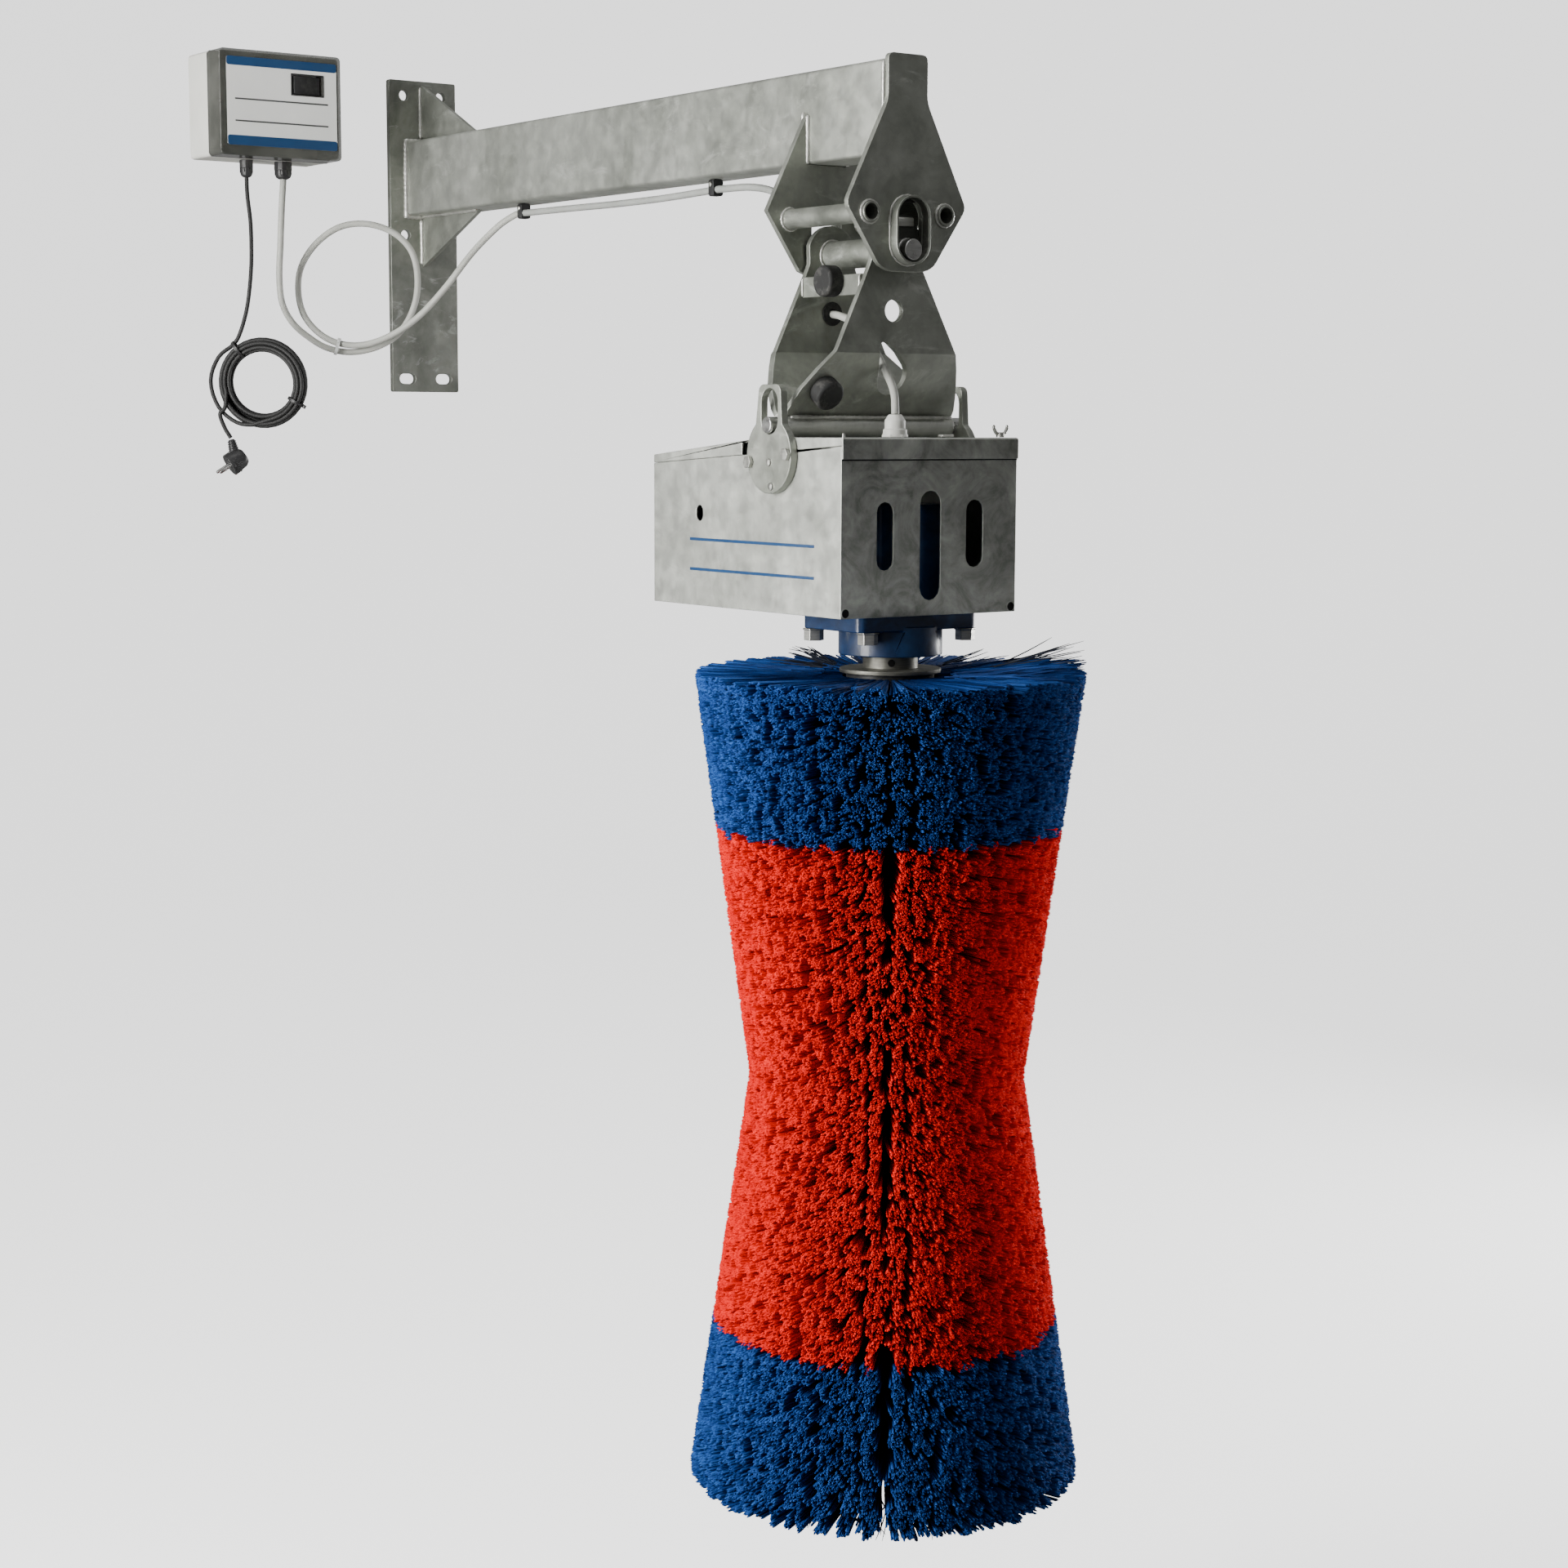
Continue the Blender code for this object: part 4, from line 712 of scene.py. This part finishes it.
for k, z in enumerate((0.1300, 0.1235, 0.0925, 0.0870)):
    slab(f"box_inner_rib_{k + 1}", (0.088, BX0 + 0.0068, z), (0.034, 0.0030, 0.0016), LABEL, "arm", 0.0003)
for k, (y, z) in enumerate(((BX0 + 0.0085, BZ1 - 0.0085), (BX1 - 0.0085, BZ1 - 0.0085), (BX0 + 0.0085, BZ0 + 0.0085), (BX1 - 0.0085, BZ0 + 0.0085))):
    turned(f"box_post_{k + 1}", [(0.0001, 0.004), (0.0040, 0.004), (0.0040, 0.1060), (0.0001, 0.1060)], (0, y, z), (1, 0, 0), SMOKE, "arm", 16)
    turned(f"box_screw_{k + 1}", [(0.0001, 0.1062), (0.0032, 0.1062), (0.0032, 0.1074), (0.0001, 0.1079)], (0, y, z), (1, 0, 0), BOLT, "arm", 20)
slab("box_terminal_row", (0.062, -0.290, 0.048), (0.014, 0.110, 0.016), GLAND_GREY, "arm", 0.0012)
slab("box_relay", (0.064, -0.325, 0.105), (0.020, 0.034, 0.030), BLACK, "arm", 0.0012)
slab("box_capacitor", (0.066, -0.255, 0.085), (0.024, 0.060, 0.022), STRIPE, "arm", 0.0015)
tube("box_seam", [(BASE + 0.0001, y, z) for y, z in ((BX0 + 0.004, BZ0 + 0.0004), (BX1 - 0.004, BZ0 + 0.0004), (BX1 - 0.0004, BZ0 + 0.004), (BX1 - 0.0004, BZ1 - 0.004), (BX1 - 0.004, BZ1 - 0.0004), (BX0 + 0.004, BZ1 - 0.0004), (BX0 + 0.0004, BZ1 - 0.004), (BX0 + 0.0004, BZ0 + 0.004))], 0.0007, LINE, "arm", 6, True)
for name, y, r in (("gland_mains", MAINS_Y, 0.0095), ("gland_motor", MOTOR_Y, 0.0125)):
    for k in range(8):
        t = 2 * math.pi * k / 8
        slab(f"{name}_rib_{k + 1}", (GLAND_X + (r + 0.0001) * math.cos(t), y + (r + 0.0001) * math.sin(t), -0.0032), (0.0012, 0.0016, 0.0060), BLACK, "arm", 0.0003, Matrix.Rotation(t, 4, "Z"))

# ---- housing ------------------------------------------------------------
HX0, HX1, HY, HLOW = 0.8837, 1.2908, 0.1348, -0.603
for k, s in enumerate((-1, 1)):
    # painted shade: a near-black disc stands for the dark inside of each corner notch
    turned(f"corner_notch_{k + 1}", [(0.0001, 0.0), (0.0052, 0.0), (0.0052, 0.00035), (0.0001, 0.00035)], (HX1, s * 0.1276, -0.5965), (1, 0, 0), PAINTED_SHADE, "housing", 24)
    turned(f"corner_notch_rim_{k + 1}", [(0.0052, 0.0), (0.0062, 0.0), (0.0062, 0.0006), (0.0052, 0.0006)], (HX1, s * 0.1276, -0.5965), (1, 0, 0), ZINC_BOX, "housing", 24, closed=True)
# painted shadow: a near-black strip on the front face just under the lid's lip
slab("lid_lip_painted_shadow", (HX1 + 0.0005, 0, -0.4158), (0.0010, 0.2690, 0.0014), PAINTED_SHADE, "housing", 0.0002)
slab("lid_corner_tab", (HX1 + 0.0014, -HY + 0.0016, -0.3995), (0.0024, 0.0030, 0.0300), WELD, "housing", 0.0006)
slab("side_stripe_top", (1.1030, -HY - 0.00015, -0.5190), (0.2690, 0.0003, 0.0037), STRIPE, "housing", 0.00008)
slab("side_stripe_low", (1.1030, -HY - 0.00015, -0.5570), (0.2690, 0.0003, 0.0037), STRIPE, "housing", 0.00008)
slab("side_stripe_top_far", (1.1030, HY + 0.00015, -0.5190), (0.2690, 0.0003, 0.0037), STRIPE, "housing", 0.00008)
slab("side_stripe_low_far", (1.1030, HY + 0.00015, -0.5570), (0.2690, 0.0003, 0.0037), STRIPE, "housing", 0.00008)
# wing nut and a small fitting on the roof
wing = Vector((1.270, 0.125, -0.3890))
turned("roof_wing_base", [(0.0001, 0.0), (0.0055, 0.0), (0.0048, 0.0050), (0.0028, 0.0062), (0.0001, 0.0062)], wing, (0, 0, 1), BOLT, "housing", 20, slot="bright_steel")
for k, s in enumerate((-1, 1)):
    tube(f"roof_wing_{k + 1}", smooth_path([wing + Vector((0, s * 0.003, 0.003)), wing + Vector((0, s * 0.0075, 0.0060)), wing + Vector((0, s * 0.0105, 0.0115)), wing + Vector((0, s * 0.0100, 0.0150))], 4), [0.0024, 0.0023, 0.0022, 0.0022, 0.0021, 0.0021, 0.0021, 0.0020, 0.0020, 0.0019, 0.0018, 0.0016, 0.0012], BOLT, "housing", 8)
slab("roof_pad", (1.262, 0.045, -0.3872), (0.010, 0.018, 0.0030), GLAND_GREY, "housing", 0.0008)
turned("roof_gland_nut", [(0.0150, -0.3890), (0.0162, -0.3890), (0.0162, -0.3858), (0.0150, -0.3858)], (GLAND.x, GLAND.y, 0), (0, 0, 1), GLAND_GREY, "housing", 6, 0.0004, closed=True)
# a conduit and fittings seen through the vents
turned("inner_conduit", [(0.0001, -0.600), (0.0085, -0.600), (0.0085, -0.548), (0.0105, -0.548), (0.0105, -0.534), (0.0085, -0.532), (0.0085, -0.470), (0.0001, -0.468)], (1.258, -0.078, 0), (0, 0, 1), GLAND_GREY, "housing", 24, 0.0006)
tube("inner_lead", smooth_path([(1.258, -0.078, -0.470), (1.250, -0.070, -0.450), (1.240, -0.050, -0.430), (GLAND.x, GLAND.y, -0.400)], 6), CABLE_R, CABLE, "housing", 12)
slab("motor_terminal_box", (1.080, -0.082, -0.520), (0.085, 0.026, 0.070), MOTOR_DARK, "housing", 0.004, segments=3)
for k, (bx, bz) in enumerate(((1.1575, -0.4200), (1.1620, -0.4490))):
    turned(f"ear_rivet_{k + 1}", [(0.0001, 0.0), (0.0050, 0.0), (0.0042, 0.0020), (0.0001, 0.0030)], (bx, -0.1452, bz), (0, -1, 0), BOLT, "housing", 20)
    turned(f"ear_rivet_far_{k + 1}", [(0.0001, 0.0), (0.0050, 0.0), (0.0042, 0.0020), (0.0001, 0.0030)], (bx, 0.1452, bz), (0, 1, 0), BOLT, "housing", 20)
# set screw in the output collar: a near-black disc, painted shade in its hollow
turned("collar_set_screw", [(0.0001, 0.0), (0.0045, 0.0), (0.0045, 0.0004), (0.0001, 0.0004)], (1.2135 + 0.0340 * 0.82, -0.0340 * 0.5724, -0.6640), (0.82, -0.5724, 0), PAINTED_SHADE, "brush", 20)

# ---- bristles -----------------------------------------------------------
BRUSH_X = 1.2135
Z_TOP, BLUE_END, WAIST, RED_END, Z_LOW = -0.680, -0.867, -1.185, -1.5025, -1.695
R_TOP, R_WAIST, R_LOW, ROOT = 0.244, 0.175, 0.250, 0.0600


def brush_r(z):
    upper = R_WAIST + (R_TOP - R_WAIST) * (z - WAIST) / (Z_TOP - WAIST)
    lower = R_WAIST + (R_LOW - R_WAIST) * (WAIST - z) / (WAIST - Z_LOW)
    return np.where(z >= WAIST, upper, lower)


ROWS, TUFT = 48, 0.0145
FRONT = math.atan2(-2.0489, 3.8615 - BRUSH_X)


def bristles(name, z_high, z_end, count, what, replaced, seed, thick=0.0017, root_shade=(0.05, 0.58, 1.0, 1.08), lift=0.0022):
    """Straight bristles in upright rows round the core: bundles of a few that lean together, cut to one outline, each a three-sided spike."""
    rng = np.random.default_rng(seed)
    per = 5
    bundles = count // per
    count = bundles * per
    pitch = 2 * math.pi / ROWS
    row = rng.integers(0, ROWS, bundles)
    in_row = rng.uniform(-0.5, 0.5, bundles)
    wander = 0.10 * np.sin(rng.uniform(0, 2 * math.pi, ROWS))[row]
    b_z = rng.uniform(z_end, z_high, bundles)
    wave = 0.12 * np.sin(b_z * 96 + row * 2.4) + 0.08 * np.sin(b_z * 233 + row * 1.1)
    squeeze = 0.92 + 0.08 * np.sin(b_z * 61 + row * 0.7)
    b_root = FRONT + pitch * (row + 0.5) + pitch * in_row * 0.45
    b_tip = FRONT + pitch * (row + 0.5 + in_row * squeeze + wave * 0.45 + wander) + rng.normal(0, 0.012, bundles)
    tuft = np.floor(b_z / TUFT + row * 0.37)
    shake = (np.sin(tuft * 12.9898 + row * 78.233) * 43758.5453) % 1.0 - 0.5
    shake_2 = (np.sin(tuft * 39.3467 + row * 11.135) * 24634.6345) % 1.0 - 0.5
    pull = 0.42 * ((tuft + 0.5 - row * 0.37) * TUFT + shake * 0.45 * TUFT - b_z)
    b_tip = b_tip + pitch * (0.30 * shake_2 - 0.10 * in_row)
    b_lift = pull + rng.normal(0, lift, bundles) * (1 + 1.2 * (rng.random(bundles) < 0.08)) - 0.012 * np.clip((Z_LOW + 0.10 - b_z) / 0.10, 0, 1)
    for centre, depth_of_gap, reach_of_gap in ((0.0, 0.036, 0.085), (-pitch * 1.05, 0.012, 0.050), (pitch * 1.0, 0.010, 0.050)):
        away = (b_tip - FRONT - centre + math.pi) % (2 * math.pi) - math.pi
        broken = np.clip(0.62 + 0.50 * np.sin(b_z * 19 + centre * 40) + 0.45 * np.sin(b_z * 83 + 1.3 + centre * 9 + 2.0 * np.sin(b_z * 31)) + rng.normal(0, 0.22, bundles), -0.1, 1.25)
        b_tip = b_tip + np.where(away >= 0, 1, -1) * depth_of_gap * broken * np.exp(-(away / reach_of_gap) ** 2)
    b_tone = np.clip(rng.normal(0.68, 0.16, bundles), 0.15, 1.0)
    b_cut = np.abs(rng.normal(0, 0.009, bundles)) + 0.07 * (rng.random(bundles) < 0.025)
    pick = np.repeat(np.arange(bundles), per)
    angle = 0.0055 / 0.2
    root_a = b_root[pick] + rng.normal(0, 0.012, count)
    root_z = np.clip(b_z[pick] + rng.normal(0, 0.0020, count), Z_LOW + 0.004, Z_TOP - 0.003)
    tip_a = b_tip[pick] + rng.normal(0, angle * 0.26, count)
    tip_z = root_z + b_lift[pick] + rng.normal(0, 0.0014, count)
    tip_z = np.clip(tip_z, Z_LOW - 0.002 - 0.006 * rng.random(count), Z_TOP + 0.004)
    limit = brush_r(np.clip(tip_z, Z_LOW, Z_TOP))
    reach = limit * (1 - b_cut[pick] - np.abs(rng.normal(0, 0.007, count)))
    tone = np.clip(b_tone[pick] + rng.normal(0, 0.10, count), 0.04, 1.0)
    bow = rng.normal(0, 0.0008, count)
    share = np.array([0.0, 0.62, 0.90, 1.0])
    size = np.array([0.9, 1.0, 1.0, 0.0]) * thick
    mids = []
    for t in share:
        a = root_a + (tip_a - root_a) * t
        r = ROOT + (reach - ROOT) * t
        z = root_z + (tip_z - root_z) * t
        side = bow * math.sin(math.pi * t)
        mids.append(np.stack([BRUSH_X + r * np.cos(a) - side * np.sin(a), r * np.sin(a) + side * np.cos(a), z + side * 0.4], axis=1))
    mids = np.stack(mids, axis=1)
    along = mids[:, 3] - mids[:, 0]
    span = np.linalg.norm(along, axis=1, keepdims=True)
    along /= span
    mids[:, 2] = mids[:, 3] - along * 0.0030
    u = np.cross(along, np.array([0.0, 0.0, 1.0]))
    u /= np.linalg.norm(u, axis=1, keepdims=True)
    v = np.cross(along, u)
    roll = rng.uniform(0, 2 * math.pi, count)
    verts = np.empty((count, 10, 3))
    for level in range(3):
        for k in range(3):
            t = roll + 2 * math.pi * k / 3
            verts[:, 3 * level + k] = mids[:, level] + size[level] * (np.cos(t)[:, None] * u + np.sin(t)[:, None] * v)
    verts[:, 9] = mids[:, 3]
    base = []
    for level in range(2):
        for k in range(3):
            j = (k + 1) % 3
            base.append((3 * level + k, 3 * level + j, 3 * level + 3 + j, 3 * level + 3 + k))
    quads = np.array(base)
    tris = np.array([(6 + k, 6 + (k + 1) % 3, 9) for k in range(3)])
    offset = (np.arange(count) * 10)[:, None, None]
    all_quads = (quads[None] + offset).reshape(count, -1)
    all_tris = (tris[None] + offset).reshape(count, -1)
    flat = np.concatenate([all_quads, all_tris], axis=1).reshape(-1).astype(np.int32)
    totals = np.tile(np.array([4] * 6 + [3] * 3, np.int32), count)
    starts = np.concatenate([[0], np.cumsum(totals)[:-1]]).astype(np.int32)
    mesh = bpy.data.meshes.new(name)
    mesh.vertices.add(count * 10)
    mesh.vertices.foreach_set("co", verts.astype(np.float32).ravel())
    mesh.loops.add(len(flat))
    mesh.loops.foreach_set("vertex_index", flat)
    mesh.polygons.add(len(totals))
    mesh.polygons.foreach_set("loop_start", starts)
    mesh.update(calc_edges=True)
    mesh.shade_smooth()
    shade = mesh.attributes.new("tone", "FLOAT", "POINT")
    # painted shade: each bristle's tone is scaled down towards its root, deep in the brush where shade falls
    root_shade = np.repeat(root_shade, [3, 3, 3, 1])
    shade.data.foreach_set("value", np.clip(tone[:, None] * root_shade[None], 0, 1).astype(np.float32).ravel())
    mesh.materials.append(what)
    made = bpy.data.objects.new(name, mesh)
    scene.collection.objects.link(made)
    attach(made, "brush")
    if replaced:
        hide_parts(*replaced)
    return made


PART = 1.0
BUNCH = int(13200 * PART)
bristles("bristle_blue_top_face", Z_TOP - 0.002, Z_TOP - 0.012, int(5200 * PART), BRISTLE_BLUE, [], 15, 0.0015, (0.45, 0.95, 1.15, 1.2), 0.0045)
blue_top = np.linspace(Z_TOP - 0.004, BLUE_END, 4)
for k in range(3):
    bristles(f"bristle_blue_top_{k + 1}", float(blue_top[k]), float(blue_top[k + 1]), BUNCH, BRISTLE_BLUE, [["bristles_top"], [], []][k], 11 + k)
red = np.linspace(BLUE_END - 0.004, RED_END + 0.004, 9)
for k in range(8):
    bristles(f"bristle_red_{k + 1}", float(red[k]), float(red[k + 1]), BUNCH, BRISTLE_RED, ["bristles_red_upper"] if k == 0 else ["bristles_red_lower"] if k == 5 else [], 21 + k)
blue_low = np.linspace(RED_END, Z_LOW + 0.006, 4)
for k in range(3):
    bristles(f"bristle_blue_low_{k + 1}", float(blue_low[k]), float(blue_low[k + 1]), BUNCH, BRISTLE_BLUE, [["bristles_bottom"], [], []][k], 31 + k)


def strays(name, spots, what, seed, thick=0.0007):
    """Loose bristles that stand out of the ends: each spot is an angle, its spread, a count, a start and an end as (radius, height) pairs of ranges."""
    rng = np.random.default_rng(seed)
    verts, faces = [], []
    for angle, spread, count, r0, z0, r1, z1 in spots:
        for _ in range(count):
            a = angle + rng.normal(0, spread)
            b = a + rng.normal(0, 0.07)
            ra, rb = rng.uniform(*r0), rng.uniform(*r1)
            start = Vector((BRUSH_X + ra * math.cos(a), ra * math.sin(a), rng.uniform(*z0)))
            end = Vector((BRUSH_X + rb * math.cos(b), rb * math.sin(b), rng.uniform(*z1)))
            middle = (start + end) / 2 + Vector((0, 0, rng.normal(0, 0.0015)))
            path = smooth_path([start, middle, end], 3)
            v, f = tube_mesh(path, [thick, thick, thick, thick * 0.95, thick * 0.85, thick * 0.7, thick * 0.35], 4)
            faces += [tuple(i + len(verts) for i in face) for face in f]
            verts += v
    made = piece(name, verts, faces, what, "brush", 60.0)
    shade = made.data.attributes.new("tone", "FLOAT", "POINT")
    shade.data.foreach_set("value", rng.uniform(0.2, 0.9, len(made.data.vertices)).astype(np.float32))
    return made


left_way, right_way = math.atan2(-0.8142, -0.5806), math.atan2(0.8142, 0.5806)
strays("stray_top_right", [
    (right_way, 0.13, 9, (0.120, 0.150), (-0.674, -0.668), (0.205, 0.246), (-0.652, -0.638)),
    (right_way, 0.22, 9, (0.150, 0.170), (-0.675, -0.670), (0.225, 0.246), (-0.668, -0.655)),
    (right_way, 0.10, 3, (0.064, 0.070), (-0.670, -0.666), (0.100, 0.125), (-0.655, -0.647))], BRISTLE_BLUE_SHADE, 41, 0.0009)
strays("stray_top_left", [
    (left_way, 0.16, 14, (0.066, 0.072), (-0.670, -0.666), (0.096, 0.128), (-0.658, -0.645)),
    (left_way, 0.12, 7, (0.075, 0.090), (-0.672, -0.668), (0.120, 0.160), (-0.668, -0.660))], BRISTLE_BLUE_SHADE, 43, 0.0010)
strays("stray_top_tuft", [
    (right_way - 0.10, 0.16, 150, (0.075, 0.110), (-0.679, -0.675), (0.190, 0.243), (-0.672, -0.660)),
    (right_way, 0.45, 120, (0.080, 0.150), (-0.680, -0.677), (0.225, 0.244), (-0.678, -0.671)),
    (left_way, 0.45, 90, (0.080, 0.150), (-0.681, -0.678), (0.205, 0.242), (-0.680, -0.676))], BRISTLE_BLUE, 42, 0.0011)
strays("stray_low", [
    (FRONT, 0.22, 26, (0.150, 0.180), (-1.688, -1.682), (0.225, 0.249), (-1.7035, -1.694)),
    (FRONT, 0.60, 30, (0.170, 0.200), (-1.688, -1.682), (0.232, 0.249), (-1.7005, -1.693))], BRISTLE_BLUE_SHADE, 44, 0.0009)

# ---- floor, backdrop and light -----------------------------------------
FLOOR = -2.15


def stage_finish(name, colour, glow):
    f = Finish(name, colour, 0.9, 0.0, 0.1)
    f.colour(f.ramp(f.noise(0.6, 2.0, 0.5), [(0.3, tuple(c * 0.985 for c in colour)), (0.7, colour)]))
    f.shader.inputs["Emission Color"].default_value = (1, 1, 1, 1)
    f.shader.inputs["Emission Strength"].default_value = glow
    return f.mat


sweep = []
for k in range(13):
    t = math.pi / 2 * k / 12
    sweep.append((7.0 + 3.0 * math.sin(t), FLOOR + 3.0 * (1 - math.cos(t))))
profile = [(-14.0, FLOOR)] + sweep + [(10.0, 9.0)]
back = (-forward.x, -forward.y)
out_dir = Vector((forward.x, forward.y, 0)).normalized()
side_dir = Vector((-out_dir.y, out_dir.x, 0))
verts, faces = [], []
for d, z in profile:
    for w in (-24.0, 24.0):
        p = Vector((1.0, 0, 0)) + out_dir * d + side_dir * w
        verts.append((p.x, p.y, z))
for k in range(len(profile) - 1):
    faces.append((2 * k, 2 * k + 1, 2 * k + 3, 2 * k + 2))
mesh = bpy.data.meshes.new("floor")
mesh.from_pydata(verts, [], faces)
mesh.shade_smooth()
floor = bpy.data.objects.new("floor", mesh)
scene.collection.objects.link(floor)
mesh.materials.append(stage_finish("floor_pale", (0.80, 0.80, 0.80), 1.6))
floor.visible_diffuse = False
floor.visible_glossy = False


def stage_point(d, w, z):
    p = Vector((1.0, 0, 0)) + out_dir * d + side_dir * w
    return (p.x, p.y, z)


ring = [(10.0, -23.9), (-13.9, -23.9), (-13.9, 23.9), (10.0, 23.9)]
mesh = bpy.data.meshes.new("backdrop")
mesh.from_pydata([stage_point(d, w, z) for d, w in ring for z in (FLOOR, 14.0)], [], [(2 * k, 2 * k + 1, 2 * k + 3, 2 * k + 2) for k in range(3)])
backdrop = bpy.data.objects.new("backdrop", mesh)
scene.collection.objects.link(backdrop)
mesh.materials.append(floor.data.materials[0])
backdrop.visible_diffuse = False
backdrop.visible_glossy = False
backdrop.visible_shadow = False

world = bpy.data.worlds.new("studio")
scene.world = world
world.use_nodes = True
sky = world.node_tree
way = sky.nodes.new("ShaderNodeSeparateXYZ")
sky.links.new(sky.nodes.new("ShaderNodeTexCoord").outputs["Generated"], way.inputs["Vector"])
span = sky.nodes.new("ShaderNodeMapRange")
span.interpolation_type = "SMOOTHSTEP"
for socket, value in (("From Min", 0.05), ("From Max", 0.90), ("To Min", 0.32), ("To Max", 0.11)):
    span.inputs[socket].default_value = value
sky.links.new(way.outputs["X"], span.inputs["Value"])
sky.links.new(span.outputs["Result"], sky.nodes["Background"].inputs["Strength"])
sky.nodes["Background"].inputs["Color"].default_value = (1.0, 1.0, 0.985, 1)


def lamp(name, at, aim, size, power, colour=(1, 1, 1)):
    light = bpy.data.lights.new(name, "AREA")
    light.shape = "RECTANGLE"
    light.size, light.size_y = size
    light.energy = power
    light.color = colour
    made = bpy.data.objects.new(name, light)
    scene.collection.objects.link(made)
    made.matrix_world = Matrix.Translation(at) @ (Vector(aim) - Vector(at)).to_track_quat("-Z", "Y").to_matrix().to_4x4()
    return made


lamp("key_left", (0.95, -2.7, -0.35), (0.95, 0, -0.45), (1.0, 2.6), 205.0, (1.0, 0.995, 0.975))
lamp("fill_right", (0.8, 4.0, -0.6), (1.0, 0, -0.7), (1.0, 2.4), 130.0)
lamp("top_soft", (0.9, -0.6, 3.4), (0.9, 0, -0.4), (2.4, 2.4), 38.0)
low = lamp("low_front", (3.3, 0.9, -2.0), (1.2, 0, -1.25), (1.0, 1.0), 2.6)
low.data.spread = math.radians(28)
lamp("high_front", (2.7, -0.2, 0.95), (1.2, 0, -0.38), (2.2, 0.18), 5.0)
